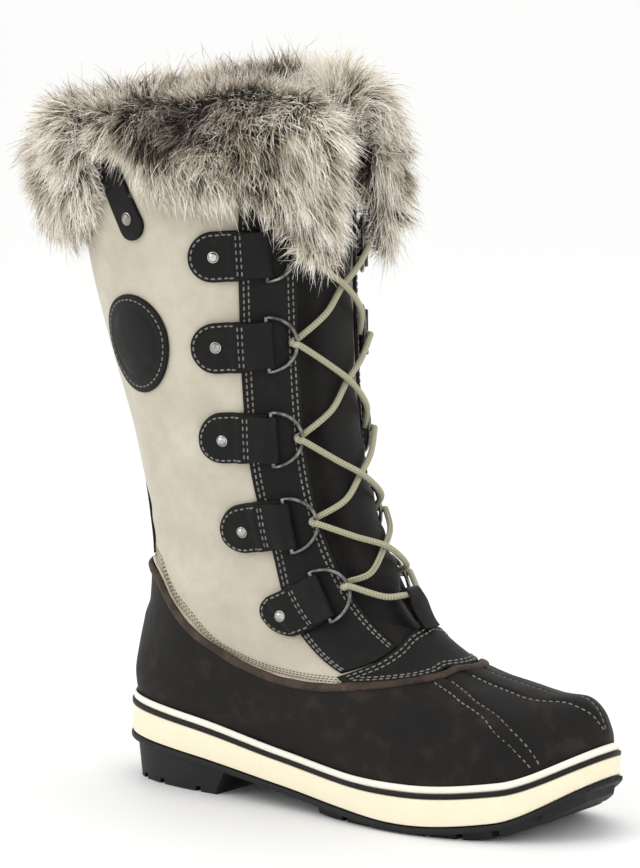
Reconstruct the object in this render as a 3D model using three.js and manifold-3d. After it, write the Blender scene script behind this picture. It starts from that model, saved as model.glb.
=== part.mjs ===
// A right-foot winter boot: a hollow suede shaft in a waxed lower shell, a laced throat with D-rings,
// a turned-down fur cuff and a rubber sole with a heel block. Millimetres, +X to the toe, +Y to the
// inner side of the foot, +Z up. The origin is the middle of the heel block's flat underside.
import * as THREE from "three";
import { mergeVertices } from "three/addons/utils/BufferGeometryUtils.js";
import Module from "manifold-3d";

const wasm = await Module();
wasm.setup();

// Driving sizes of the foot and leg
const footLength = 270;
const heelSetback = 30.5;
const ballWidth = 87;
const heelHeight = 26.5;
const instepHeight = 82;
const shaftHeight = 236;
const calfWidth = 116;
const toeSpring = 32;

// Walls, layers and clearances
const upperWall = 3;
const shellWall = 2.2;
const facingWall = 1.6;
const plugWall = 2.2;
const tongueWall = 3.4;
const trimWall = 1.4;
const clearance = 0.3;
const looseFit = 0.6;

// Sole
const treadDepth = 6;
const lipHeight = 3.2;
const lugHeight = 4;
const lugInset = 4;
const lugPitch = 17;
const foxingWall = 4.9;
const whiteBandStep = 0.7;
const stripeInlay = 1.6;
const stripeProud = 0.3;
const lipOverhang = 0.8;
const heelBlockLength = 70;
const heelBlockInset = 3.5;
const heelBlockTaper = 2;
const breastSlant = 7;
const grooveWidth = 3.4;
const grooveDepth = 2.8;
const insoleThickness = 4;
const soleSections = 40;

// Lacing
const throatHalf = 25.5;
const facingWidth = 29.5;
const facingFlare = 26;
const tabWidth = 26;
const tabLength = 39;
const tabWall = 2.2;
const foldSetback = 16.2;
const foldWidth = 23.6;
const foldWall = 1.3;
const ringOpening = 25;
const ringDepth = 15.4;
const ringWire = 2.6;
const rivetSetback = 25.5;
const rivetRadius = 3.1;
const rivetHeight = 1.7;
const laceDiameter = 3.2;
const laceSides = 5;
const loopWidth = 10;
const loopLength = 21;

// Trim
const bindingRadius = 1.9;
const backstayWidth = 26;
const patchRadius = 25;
const strapWidth = 16;
const strapWall = 2;
const strapLength = 50;

// Fur cuff
const cuffThickness = 25;
const cuffRise = 28;
const frontRiseGain = 9;
const cuffLeg = 14;
const cuffLining = 10;
const slitHalf = 5;
const lockLength = 21;
const lockRadius = 6.5;
const lockCount = 48;

// Sections of the last, from the sole to the collar. back and front are places along footLength,
// backRise and frontRise shares of instepHeight, backClimb and frontClimb shares of shaftHeight.
// heel, waist, ball and toe are half widths as shares of the girth's width, rocker is how far the
// row follows the sole's curve, heelRound and toeRound shape its ends and swing is its inward curve.
const footRow = (row) => ({ girth: ballWidth, backClimb: 0, frontClimb: 0, ...row });
const legRow = (row) => ({ girth: calfWidth, backRise: 1, frontRise: 1, rocker: 0, swing: 0,
  heelRound: 1, toeRound: 1, ...row });
const lastRows = [
  footRow({ back: 0.001, backRise: 0, front: 0.999, frontRise: 0, rocker: 1,
    heel: 0.329, waist: 0.305, ball: 0.45, toe: 0.4, heelRound: 0.72, toeRound: 1.11, swing: 0.08 }),
  footRow({ back: -0.008, backRise: 0.25, front: 1.005, frontRise: 0.22, rocker: 1,
    heel: 0.358, waist: 0.335, ball: 0.481, toe: 0.425, heelRound: 0.73, toeRound: 1.07, swing: 0.08 }),
  footRow({ back: -0.013, backRise: 0.384, front: 0.996, frontRise: 0.37, rocker: 0.95,
    heel: 0.37, waist: 0.36, ball: 0.484, toe: 0.405, heelRound: 0.76, toeRound: 1.06, swing: 0.08 }),
  footRow({ back: -0.009, backRise: 0.506, front: 0.962, frontRise: 0.532, rocker: 0.8,
    heel: 0.367, waist: 0.368, ball: 0.472, toe: 0.36, heelRound: 0.82, toeRound: 1.03, swing: 0.08 }),
  footRow({ back: -0.003, backRise: 0.616, front: 0.88, frontRise: 0.605, rocker: 0.6,
    heel: 0.36, waist: 0.372, ball: 0.448, toe: 0.315, heelRound: 0.9, toeRound: 1, swing: 0.06 }),
  footRow({ back: 0.004, backRise: 0.726, front: 0.765, frontRise: 0.672, rocker: 0.4,
    heel: 0.351, waist: 0.384, ball: 0.412, toe: 0.268, heelRound: 1, toeRound: 1, swing: 0.04 }),
  footRow({ back: 0.021, backRise: 0.86, front: 0.668, frontRise: 0.81, rocker: 0.25,
    heel: 0.34, waist: 0.384, ball: 0.378, toe: 0.256, heelRound: 1, toeRound: 1, swing: 0.02 }),
  footRow({ back: 0.024, backRise: 1, front: 0.594, frontRise: 1.02, rocker: 0.12,
    heel: 0.322, waist: 0.395, ball: 0.372, toe: 0.256, heelRound: 1, toeRound: 1, swing: 0 }),
  footRow({ back: 0.022, backRise: 1, backClimb: 0.066, front: 0.537, frontRise: 1, frontClimb: 0.1,
    rocker: 0.05, heel: 0.31, waist: 0.407, ball: 0.384, toe: 0.267, heelRound: 1, toeRound: 1, swing: 0 }),
  legRow({ back: 0.014, backClimb: 0.146, front: 0.498, frontClimb: 0.19,
    heel: 0.243, waist: 0.334, ball: 0.317, toe: 0.222 }),
  legRow({ back: -0.009, backClimb: 0.303, front: 0.462, frontClimb: 0.337,
    heel: 0.284, waist: 0.392, ball: 0.371, toe: 0.259 }),
  legRow({ back: -0.064, backClimb: 0.523, front: 0.441, frontClimb: 0.574,
    heel: 0.341, waist: 0.47, ball: 0.44, toe: 0.304 }),
  legRow({ back: -0.112, backClimb: 0.71, front: 0.435, frontClimb: 0.795,
    heel: 0.36, waist: 0.5, ball: 0.47, toe: 0.326 }),
  legRow({ back: -0.15, backClimb: 0.94, front: 0.437, frontClimb: 1,
    heel: 0.375, waist: 0.515, ball: 0.488, toe: 0.34 }),
];
const collarRow = lastRows.length - 1;

// Where the widths of a row are measured, as shares of its chord from back to front
const widthPlaces = [0.15, 0.42, 0.68, 0.88];

// The sole's underside: lift is a share of what lies above treadDepth, at the heel or the toe
const ballShare = 0.69;
const soleProfile = [
  { at: 0, lift: 1 },
  { at: 0.2, lift: 0.77 },
  { at: 0.4, lift: 0.38 },
  { at: 0.55, lift: 0.14 },
  { at: ballShare, lift: 0 },
  { at: 0.86, lift: 0.19 },
  { at: 1, lift: 1 },
];

// How high the foxing stands along the boot, as a row number of lastRows
const rimLine = [
  { at: 0, row: 0.98 },
  { at: 0.2, row: 0.93 },
  { at: 0.42, row: 0.84 },
  { at: 0.56, row: 0.86 },
  { at: 0.7, row: 1.01 },
  { at: 0.86, row: 1.03 },
  { at: 1, row: 0.98 },
];

// The last's inward curve along a row's chord, as shares of the row's swing
const lastCurve = [
  { at: 0, share: 0.18 },
  { at: 0.22, share: 0.04 },
  { at: 0.45, share: -0.5 },
  { at: 0.7, share: 0.17 },
  { at: 1, share: 1.96 },
];

// The shell's top edge, as a row number against the share of the way round from toe to heel
const shellLine = [
  { at: 0, row: 5.1 },
  { at: 0.1, row: 5.08 },
  { at: 0.17, row: 4.87 },
  { at: 0.26, row: 4.57 },
  { at: 0.38, row: 4.12 },
  { at: 0.47, row: 3.8 },
  { at: 0.54, row: 3.62 },
  { at: 0.6, row: 3.92 },
  { at: 0.64, row: 4.55 },
  { at: 0.7, row: 5.54 },
  { at: 0.79, row: 6.98 },
  { at: 0.88, row: 7.25 },
  { at: 1, row: 7.3 },
];

// The plug's upper edge, as a row number against the share of plugTurn from its middle
const plugTurn = 0.195;
const plugLine = [
  { at: 0, row: 6.42 },
  { at: 0.25, row: 6.26 },
  { at: 0.53, row: 5.77 },
  { at: 0.75, row: 5.27 },
  { at: 1, row: 4.6 },
];

// Each pair of tabs, from the collar down: its row at the fold and the tilt of its length
const tabRows = [
  { row: 11.8, tilt: 2 },
  { row: 10.92, tilt: 0 },
  { row: 10.07, tilt: 0 },
  { row: 8.78, tilt: -7 },
  { row: 7.08, tilt: -28 },
];

// The cuff's lower edge below the collar, in shares of cuffReach, from the slit round to the back
const cuffReach = 86;
const cuffLine = [
  { at: 0, share: 0.95 },
  { at: 0.06, share: 0.88 },
  { at: 0.12, share: 0.68 },
  { at: 0.2, share: 0.43 },
  { at: 0.3, share: 0.34 },
  { at: 0.46, share: 0.34 },
  { at: 0.62, share: 0.45 },
  { at: 0.76, share: 0.53 },
  { at: 1, share: 0.54 },
];

// Smooth curve through a table's points, flat at each peak, with its own end slopes.
function curveThrough(xs, ys) {
  const n = xs.length;
  const slope = [];
  for (let i = 0; i < n - 1; i++) slope.push((ys[i + 1] - ys[i]) / (xs[i + 1] - xs[i]));
  const tangent = ys.map((_, i) => {
    if (i === 0) return slope[0];
    if (i === n - 1) return slope[n - 2];
    if (slope[i - 1] * slope[i] <= 0) return 0;
    return (2 * slope[i - 1] * slope[i]) / (slope[i - 1] + slope[i]);
  });
  return (x) => {
    if (x <= xs[0]) return ys[0] + tangent[0] * (x - xs[0]);
    if (x >= xs[n - 1]) return ys[n - 1] + tangent[n - 1] * (x - xs[n - 1]);
    let i = 0;
    while (x > xs[i + 1]) i++;
    const span = xs[i + 1] - xs[i];
    const t = (x - xs[i]) / span;
    const t2 = t * t;
    const t3 = t2 * t;
    const from = ys[i] * (2 * t3 - 3 * t2 + 1) + tangent[i] * span * (t3 - 2 * t2 + t);
    return from + ys[i + 1] * (3 * t2 - 2 * t3) + tangent[i + 1] * span * (t3 - t2);
  };
}
const tableCurve = (table, column) => curveThrough(table.map((r) => r.at), table.map((r) => r[column]));
const clamp = (x, low, high) => Math.min(high, Math.max(low, x));
const mix = (a, b, t) => a + (b - a) * t;
const ease = (t) => clamp(t, 0, 1) ** 2 * (3 - 2 * clamp(t, 0, 1));

// Layers outside the upper's outer face, as distances along its normal
const shellFrom = clearance;
const shellTo = shellFrom + shellWall;
const foxingFrom = shellTo + clearance;
const creamTo = foxingFrom + foxingWall;
const lipTo = creamTo + lipOverhang;
const facingTo = clearance + facingWall;
const plugTo = clearance + plugWall;

// Height of the sole's top plate at a place along the boot
const soleBack = -heelSetback - lipTo;
const soleLength = footLength + 2 * lipTo;
const soleShare = (x) => clamp((x - soleBack) / soleLength, 0, 1);
const soleLift = tableCurve(soleProfile, "lift");
const soleTop = (x) => {
  const share = soleShare(x);
  const end = share < ballShare ? heelHeight : toeSpring;
  return treadDepth + soleLift(share) * (end - treadDepth);
};
const rimRow = tableCurve(rimLine, "row");

// Each column of lastRows in millimetres, as a smooth function of the row number
const rowNumbers = lastRows.map((_, i) => i);
const column = (value) => curveThrough(rowNumbers, lastRows.map(value));
const placeX = (share) => share * footLength - heelSetback;
const backX = column((r) => placeX(r.back));
const frontX = column((r) => placeX(r.front));
const backZ = column((r) => heelHeight + r.backRise * instepHeight + r.backClimb * shaftHeight);
const frontZ = column((r) => heelHeight + r.frontRise * instepHeight + r.frontClimb * shaftHeight);
const rockerOf = column((r) => r.rocker);
const heelRoundOf = column((r) => r.heelRound);
const toeRoundOf = column((r) => r.toeRound);
const swingOf = column((r) => r.swing * ballWidth);
const widthColumns = ["heel", "waist", "ball", "toe"].map((name) => column((r) => r[name] * r.girth));
const curveOfLast = tableCurve(lastCurve, "share");

// One row's section: its chord in the XZ plane, its dip along the sole and its half widths.
const sectionStore = new Map();
function sectionAt(row) {
  const key = row.toFixed(5);
  if (sectionStore.has(key)) return sectionStore.get(key);
  const x0 = backX(row);
  const x1 = frontX(row);
  const heelRound = heelRoundOf(row);
  const toeRound = toeRoundOf(row);
  const fullness = curveThrough(
    widthPlaces,
    widthColumns.map((width, i) => {
      const sine = 2 * Math.sqrt(widthPlaces[i] * (1 - widthPlaces[i]));
      return width(row) / sine ** mix(heelRound, toeRound, widthPlaces[i]);
    }),
  );
  const section = {
    x0, x1, heelRound, toeRound, fullness,
    z0: backZ(row),
    z1: frontZ(row),
    rocker: clamp(rockerOf(row), 0, 1),
    swing: swingOf(row),
  };
  sectionStore.set(key, section);
  return section;
}

// A point of the upper's outer face: turn 0 is the front, 0.25 the outer side, 0.5 the back and
// 0.75 the inner side, and row is a place up the table of sections.
function facePoint(turn, row) {
  const k = sectionAt(row);
  const angle = 2 * Math.PI * turn;
  const share = (1 + Math.cos(angle)) / 2;
  const x = mix(k.x0, k.x1, share);
  const sine = Math.sin(angle);
  const half = k.fullness(clamp(share, 0.02, 0.98)) * Math.abs(sine) ** mix(k.heelRound, k.toeRound, share);
  const y = k.swing * curveOfLast(share) - Math.sign(sine) * half;
  const z = mix(k.z0, k.z1, share) + k.rocker * (soleTop(x) - heelHeight);
  return new THREE.Vector3(x, y, z);
}
// Steps of turn and row over which a direction along the face is measured
const turnStep = 2e-3;
const rowStep = 0.02;
function faceNormal(turn, row) {
  const around = facePoint(turn + turnStep, row).sub(facePoint(turn - turnStep, row));
  const up = facePoint(turn, row + rowStep).sub(facePoint(turn, row - rowStep));
  return up.cross(around).normalize();
}
const layerPoint = (turn, row, offset) => facePoint(turn, row).addScaledVector(faceNormal(turn, row), offset);

// Distances round a row from its front, so that a place can be given as a real arc length.
const arcStore = new Map();
const arcSteps = 64;
function arcTable(row) {
  const key = row.toFixed(4);
  if (arcStore.has(key)) return arcStore.get(key);
  const lengths = [0];
  let last = facePoint(0, row);
  for (let i = 1; i <= arcSteps; i++) {
    const next = facePoint((0.5 * i) / arcSteps, row);
    lengths.push(lengths[i - 1] + next.distanceTo(last));
    last = next;
  }
  arcStore.set(key, lengths);
  return lengths;
}
// The turn at a signed arc length from the front: positive on the outer side.
function turnAt(row, arc) {
  const lengths = arcTable(row);
  const reach = Math.min(Math.abs(arc), lengths[arcSteps] - 1e-6);
  let i = 0;
  while (lengths[i + 1] < reach) i++;
  const t = (i + (reach - lengths[i]) / (lengths[i + 1] - lengths[i])) / arcSteps;
  return 0.5 * t * Math.sign(arc || 1);
}
const arcPoint = (row, arc, offset) => layerPoint(turnAt(row, arc), row, offset);
const halfGirth = (row) => arcTable(row)[arcSteps];

// Meshes and solids
function geometryOf(points, faces) {
  const g = new THREE.BufferGeometry();
  const places = new Float32Array(points.flatMap((p) => [p.x, p.y, p.z]));
  g.setAttribute("position", new THREE.BufferAttribute(places, 3));
  g.setIndex(faces.flat());
  return g;
}
function solidOf(geometry) {
  const bare = geometry.clone();
  bare.deleteAttribute("normal");
  bare.deleteAttribute("uv");
  const merged = mergeVertices(bare, 1e-4);
  const solid = new wasm.Manifold(
    new wasm.Mesh({
      numProp: 3,
      vertProperties: merged.attributes.position.array,
      triVerts: new Uint32Array(merged.index.array),
    }),
  );
  if (solid.volume() >= 0) return solid;
  return solidOf(turnedOut(merged));
}
function turnedOut(geometry) {
  const index = Array.from(geometry.index.array);
  for (let i = 0; i < index.length; i += 3) [index[i + 1], index[i + 2]] = [index[i + 2], index[i + 1]];
  const g = new THREE.BufferGeometry();
  g.setAttribute("position", geometry.getAttribute("position"));
  g.setIndex(index);
  return g;
}
function geometryFrom(solid) {
  const mesh = solid.getMesh();
  const g = new THREE.BufferGeometry();
  const points = new Float32Array(mesh.numVert * 3);
  for (let i = 0; i < mesh.numVert; i++) {
    points.set(mesh.vertProperties.subarray(i * mesh.numProp, i * mesh.numProp + 3), i * 3);
  }
  g.setAttribute("position", new THREE.BufferAttribute(points, 3));
  g.setIndex(new THREE.BufferAttribute(mesh.triVerts, 1));
  g.computeVertexNormals();
  return g;
}

// A solid from rings of equal length: joined along, and capped at both ends or closed on itself.
function ringSolid(rings, { closed = false } = {}) {
  const n = rings[0].length;
  const points = rings.flat();
  const faces = [];
  const last = closed ? rings.length : rings.length - 1;
  for (let j = 0; j < last; j++) {
    const k = (j + 1) % rings.length;
    for (let i = 0; i < n; i++) {
      const m = (i + 1) % n;
      faces.push([j * n + i, j * n + m, k * n + m], [j * n + i, k * n + m, k * n + i]);
    }
  }
  if (!closed) {
    for (const [start, flip] of [[0, true], [(rings.length - 1) * n, false]]) {
      const flat = THREE.ShapeUtils.triangulateShape(flattened(points.slice(start, start + n)), []);
      for (const face of flat) {
        const [a, b, c] = face.map((k) => start + k);
        faces.push(flip ? [a, c, b] : [a, b, c]);
      }
    }
  }
  return solidOf(geometryOf(points, faces));
}
// A ring of points laid out in its own best plane, for cutting its cap into triangles.
function flattened(ring) {
  const centre = ring.reduce((sum, p) => sum.add(p), new THREE.Vector3()).divideScalar(ring.length);
  const normal = new THREE.Vector3();
  ring.forEach((p, i) => {
    const a = p.clone().sub(centre);
    const b = ring[(i + 1) % ring.length].clone().sub(centre);
    normal.add(a.cross(b));
  });
  normal.normalize();
  const side = new THREE.Vector3(1, 0, 0);
  if (Math.abs(normal.x) > 0.8) side.set(0, 1, 0);
  const u = side.clone().cross(normal).normalize();
  const v = normal.clone().cross(u);
  return ring.map((p) => {
    const d = p.clone().sub(centre);
    return new THREE.Vector2(d.dot(u), d.dot(v));
  });
}

// A slab over a grid: place(i, j, 0) is its inner face and place(i, j, 1) its outer face.
function slabSolid(across, along, place) {
  const points = [];
  const at = (i, j, k) => (k * (along + 1) + j) * (across + 1) + i;
  for (let k = 0; k < 2; k++) {
    for (let j = 0; j <= along; j++) {
      for (let i = 0; i <= across; i++) points.push(place(i / across, j / along, k));
    }
  }
  const faces = [];
  const quad = (a, b, c, d) => faces.push([a, b, c], [a, c, d]);
  for (let j = 0; j < along; j++) {
    for (let i = 0; i < across; i++) {
      quad(at(i, j, 0), at(i, j + 1, 0), at(i + 1, j + 1, 0), at(i + 1, j, 0));
      quad(at(i, j, 1), at(i + 1, j, 1), at(i + 1, j + 1, 1), at(i, j + 1, 1));
    }
  }
  for (let i = 0; i < across; i++) {
    quad(at(i, 0, 0), at(i + 1, 0, 0), at(i + 1, 0, 1), at(i, 0, 1));
    quad(at(i, along, 0), at(i, along, 1), at(i + 1, along, 1), at(i + 1, along, 0));
  }
  for (let j = 0; j < along; j++) {
    quad(at(0, j, 0), at(0, j, 1), at(0, j + 1, 1), at(0, j + 1, 0));
    quad(at(across, j, 0), at(across, j + 1, 0), at(across, j + 1, 1), at(across, j, 1));
  }
  return solidOf(geometryOf(points, faces));
}

const skins = {
  suede: { color: 0xcfc6b2, roughness: 0.9, metalness: 0 },
  shell: { color: 0x3a3836, roughness: 0.75, metalness: 0 },
  dark: { color: 0x2b2b2b, roughness: 0.7, metalness: 0 },
  binding: { color: 0x5a4a42, roughness: 0.7, metalness: 0 },
  cream: { color: 0xf3ecd2, roughness: 0.5, metalness: 0 },
  rubber: { color: 0x26241f, roughness: 0.8, metalness: 0 },
  lining: { color: 0x6b655c, roughness: 1, metalness: 0 },
  metal: { color: 0x9a9894, roughness: 0.3, metalness: 1 },
  lace: { color: 0xbdb99f, roughness: 0.9, metalness: 0 },
  fur: { color: 0xa59a8c, roughness: 1, metalness: 0 },
};
const boot = new THREE.Group();
function add(name, solid, skin) {
  const mesh = new THREE.Mesh(geometryFrom(solid), new THREE.MeshStandardMaterial(skins[skin]));
  mesh.name = name;
  boot.add(mesh);
}

// Every layer is sampled on one grid, so that neighbouring layers stay parallel.
const gridCount = 30;
const gridTurns = Array.from({ length: gridCount }, (_, i) => i / gridCount);
const gridRows = [0, 1, 2, 3, 3.8, 4.6, 5.4, 6.2, 7, 7.8, 8.8, 10, 11.5, collarRow];
const footRows = gridRows.filter((row) => row < 8);

// A closed band round the boot between two offsets of the upper's face.
function bandSolid(from, to, rows = gridRows) {
  const n = gridCount;
  const count = rows.length;
  const points = [from, to].flatMap((offset) =>
    rows.flatMap((row) => gridTurns.map((turn) => layerPoint(turn, row, offset))));
  const faces = [];
  const at = (i, j, k) => (k * count + j) * n + (i % n);
  for (let i = 0; i < n; i++) {
    for (let j = 0; j < count - 1; j++) {
      for (const k of [0, 1]) {
        const [a, b, c, d] = [at(i, j, k), at(i + 1, j, k), at(i + 1, j + 1, k), at(i, j + 1, k)];
        faces.push(...(k ? [[a, c, b], [a, d, c]] : [[a, b, c], [a, c, d]]));
      }
    }
    for (const [j, flip] of [[0, false], [count - 1, true]]) {
      const [a, b, c, d] = [at(i, j, 0), at(i, j, 1), at(i + 1, j, 1), at(i + 1, j, 0)];
      faces.push(...(flip ? [[a, c, b], [a, d, c]] : [[a, b, c], [a, c, d]]));
    }
  }
  return solidOf(geometryOf(points, faces));
}

// Row gained by going up the face by a length in millimetres.
function rowsUp(turn, row, length) {
  const rise = facePoint(turn, row + 0.1).distanceTo(facePoint(turn, row - 0.1)) / 0.2;
  return length / rise;
}

// A knife through the layers: a slab between two rows and two arcs, each a function of the other.
const knifeInside = -2;
const knifeOutside = 9;
function knife(across, along, place) {
  return slabSolid(across, along, (i, j, k) => {
    const [row, arc] = place(i, j);
    return arcPoint(row, arc, mix(knifeInside, knifeOutside, k));
  });
}

// The upper: one hollow wall, open at the collar, down the throat and underneath.
const throatFootRow = 6.75;
const pastEnd = 0.2;
const cutMargin = 3;
function upperSolid() {
  const cutter = slabSolid(6, 12, (i, j, k) => {
    const row = mix(throatFootRow, collarRow + pastEnd, j);
    return arcPoint(row, mix(-1, 1, i) * throatHalf, mix(-upperWall - cutMargin, cutMargin, k));
  });
  return bandSolid(-upperWall, 0).subtract(cutter);
}
add("upper", upperSolid(), "suede");

// The waxed shell round the foot, from the sole plate to its scooped top edge.
const shellRow = tableCurve(shellLine, "row");
const shellTopRow = (turn) => shellRow(2 * Math.min(turn - Math.floor(turn), 1 - (turn - Math.floor(turn))));
const shellSections = 48;
const shellSteps = 9;
function shellSolid() {
  const turns = Array.from({ length: shellSections }, (_, i) => i / shellSections);
  const wall = (offset) => Array.from({ length: shellSteps + 1 }, (_, j) =>
    turns.map((turn) => layerPoint(turn, mix(-pastEnd, shellTopRow(turn), j / shellSteps), offset)));
  const cutter = ringSolid([...wall(knifeOutside), ...wall(knifeInside).reverse()], { closed: true });
  return bandSolid(shellFrom, shellTo, footRows).intersect(cutter);
}
add("lower_shell", shellSolid(), "shell");

// The rolled binding that lies on the shell's top edge.
const bindingSections = 36;
const bindingSides = 5;
const bindingLift = bindingRadius + looseFit;
const bindingSquash = 0.8;
function bindingSolid() {
  const turns = Array.from({ length: bindingSections }, (_, i) => i / bindingSections);
  const rings = turns.map((turn) => {
    const row = shellTopRow(turn);
    const out = faceNormal(turn, row);
    const edge = (t) => facePoint(t, shellTopRow(t));
    const along = edge(turn + 2 * turnStep).sub(edge(turn - 2 * turnStep));
    const up = along.clone().cross(out).normalize();
    if (up.dot(facePoint(turn, row + rowStep).sub(facePoint(turn, row))) < 0) up.negate();
    const centre = facePoint(turn, row)
      .addScaledVector(out, bindingSquash * bindingRadius + 2 * looseFit)
      .addScaledVector(up, bindingLift);
    return Array.from({ length: bindingSides }, (_, i) => {
      const angle = (2 * Math.PI * i) / bindingSides;
      return centre.clone()
        .addScaledVector(out, bindingSquash * bindingRadius * Math.cos(angle))
        .addScaledVector(up, bindingRadius * Math.sin(angle));
    });
  });
  return ringSolid(rings, { closed: true });
}
add("shell_binding", bindingSolid(), "binding");
function aboveBinding(turn) {
  const row = shellTopRow(turn);
  return row + rowsUp(turn, row, 2 * bindingLift + 2 * looseFit);
}

// The plug over the throat's foot, between the shell's edge and the facings.
const plugRow = tableCurve(plugLine, "row");
const plugLeast = 3;
const plugSideRow = 5;
function plugTopRow(turn) {
  const least = aboveBinding(turn) + rowsUp(turn, plugSideRow, plugLeast);
  return Math.max(plugRow(Math.abs(turn) / plugTurn), least);
}
function plugSolid() {
  const cutter = slabSolid(12, 1, (i, j, k) => {
    const turn = mix(-1, 1, i) * plugTurn;
    return layerPoint(turn, mix(aboveBinding(turn), plugTopRow(turn), j), mix(knifeInside, knifeOutside, k));
  });
  return bandSolid(clearance, plugTo, footRows).intersect(cutter);
}
add("vamp_plug", plugSolid(), "dark");

// The two facings along the throat, wider towards their foot.
const flareRow = 8.6;
const flareRows = 4;
const footFlare = 0.9;
const trimTopRow = collarRow - 0.05;
function facingBack(row) {
  return throatHalf + facingWidth + facingFlare * ease((flareRow - row) / flareRows);
}
// The row where a line up the throat leaves the plug's upper edge, by steps from the plug's middle.
function plugRowAt(arc) {
  let row = plugRow(0.5);
  for (let i = 0; i < 4; i++) row = plugTopRow(turnAt(row, arc));
  return row;
}
function facingSolid(side) {
  const cutter = knife(3, 9, (i, j) => {
    const footArc = throatHalf + i * (facingWidth + facingFlare * footFlare);
    const foot = plugRowAt(footArc);
    const row = mix(foot + rowsUp(turnAt(foot, footArc), foot, 2 * clearance), trimTopRow, j);
    return [row, side * mix(throatHalf, facingBack(row), i)];
  });
  return bandSolid(clearance, facingTo).intersect(cutter);
}
add("facing_outer", facingSolid(1), "dark");
add("facing_inner", facingSolid(-1), "dark");

// The tongue, tucked behind the facings and crowned in the throat.
const tongueHeight = 2.2;
const tongueGap = 0.8;
const tuckWidth = 9;
const crownInset = 2.5;
const crownShare = 0.5;
const crownRise = { row: throatFootRow + 0.15, rows: 0.8 };
const tongueRootRow = 5.7;
function tongueFace(row, arc) {
  const inThroat = ease((1 - Math.abs(arc) / (throatHalf - crownInset)) / crownShare);
  const risen = ease((row - crownRise.row) / crownRise.rows);
  return mix(-upperWall - tongueGap, tongueHeight, inThroat * risen);
}
function tongueSolid() {
  return slabSolid(10, 11, (i, j, k) => {
    const row = mix(tongueRootRow, collarRow, j);
    const arc = mix(-1, 1, i) * (throatHalf + tuckWidth);
    return arcPoint(row, arc, tongueFace(row, arc) - (1 - k) * tongueWall);
  });
}
add("tongue", tongueSolid(), "dark");

// The strip down the back seam.
function backstaySolid() {
  const cutter = knife(2, 8, (i, j) => {
    const row = mix(aboveBinding(0.5), trimTopRow, j);
    return [row, halfGirth(row) + (i - 0.5) * backstayWidth];
  });
  return bandSolid(clearance, clearance + trimWall).intersect(cutter);
}

// A patch of the face laid out flat: p runs from the anchor to the rear and q up, in millimetres.
function drape(row, arc, tilt, side) {
  const step = 0.5;
  const here = arcPoint(row, side * arc, 0);
  const alongArc = arcPoint(row, side * (arc + step), 0).sub(here).divideScalar(step);
  const alongRow = arcPoint(row + rowStep, side * arc, 0).sub(here).divideScalar(rowStep);
  const out = faceNormal(turnAt(row, side * arc), row);
  const rear = alongArc.clone().normalize();
  const up = out.clone().cross(rear).multiplyScalar(-side).normalize();
  if (up.z < 0) up.negate();
  const angle = THREE.MathUtils.degToRad(tilt);
  const pAxis = rear.clone().multiplyScalar(Math.cos(angle)).addScaledVector(up, Math.sin(angle));
  const qAxis = up.clone().multiplyScalar(Math.cos(angle)).addScaledVector(rear, -Math.sin(angle));
  const a = alongArc.dot(rear);
  const b = alongRow.dot(rear);
  const c = alongArc.dot(up);
  const d = alongRow.dot(up);
  const det = a * d - b * c;
  const place = (p, q) => {
    const x = p * Math.cos(angle) - q * Math.sin(angle);
    const y = p * Math.sin(angle) + q * Math.cos(angle);
    return [row + (a * y - c * x) / det, side * (arc + (d * x - b * y) / det)];
  };
  return {
    out, pAxis, qAxis, place,
    at: (p, q, offset) => arcPoint(...place(p, q), offset),
    outAt: (p, q) => {
      const [r, s] = place(p, q);
      return faceNormal(turnAt(r, s), r);
    },
  };
}

// Sheet with round ends on a drape: halfWidth and offset are functions of the share along it.
function sheetSolid(sheet, stations, inner, wall) {
  return slabSolid(2, stations.length - 1, (i, j, k) => {
    const { p, half } = stations[Math.round(j * (stations.length - 1))];
    return sheet.at(p, mix(-1, 1, i) * half, inner(p) + k * wall);
  });
}
// Stations along a strip with a straight start and a round end.
function roundEnded(length, startHalf, endHalf, straight) {
  const stations = straight.map((share) => ({
    p: share * (length - endHalf),
    half: mix(startHalf, endHalf, ease(share * 2)),
  }));
  for (const angle of [35, 62, 82]) {
    const a = THREE.MathUtils.degToRad(angle);
    stations.push({ p: length - endHalf + endHalf * Math.sin(a), half: endHalf * Math.cos(a) });
  }
  return stations;
}

// A folded end: a tube across the strip with a hole for what it holds.
const foldSides = 6;
function rodAlong(axis, across, out, centre, radius, length, sides) {
  const ring = (shift) => Array.from({ length: sides }, (_, i) => {
    const angle = (2 * Math.PI * (i + 0.5)) / sides;
    return centre.clone()
      .addScaledVector(axis, shift)
      .addScaledVector(across, radius * Math.cos(angle))
      .addScaledVector(out, radius * Math.sin(angle));
  });
  return ringSolid([ring(-length / 2), ring(length / 2)]);
}
function foldSolid(sheet, centre, holeRadius, width) {
  const body = rodAlong(sheet.qAxis, sheet.pAxis, sheet.out, centre, holeRadius + foldWall, width, foldSides);
  const hole = rodAlong(sheet.qAxis, sheet.pAxis, sheet.out, centre, holeRadius, width + 2, foldSides);
  return body.subtract(hole);
}

// The tabs, their D-rings and rivets.
const tabFrom = facingTo + looseFit;
const wireRadius = ringWire / 2;
const ringHole = wireRadius + looseFit;
const foldHeight = tabFrom + ringHole + foldWall;
const tabSheet = (tab, side) => drape(tab.row, throatHalf + foldSetback, tab.tilt, side);
// Height of a tab's underside: over the facing, then down to the shaft behind the facing's edge.
const stepSetback = 2.4;
const stepRun = 3.5;
function tabInner(sheet) {
  return (p) => Math.max(...[-1, 0, 1].map((q) => {
    const [row, arc] = sheet.place(p, (q * tabWidth) / 2);
    return mix(tabFrom, looseFit, ease((Math.abs(arc) - facingBack(row) - stepSetback) / stepRun));
  }));
}
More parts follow.
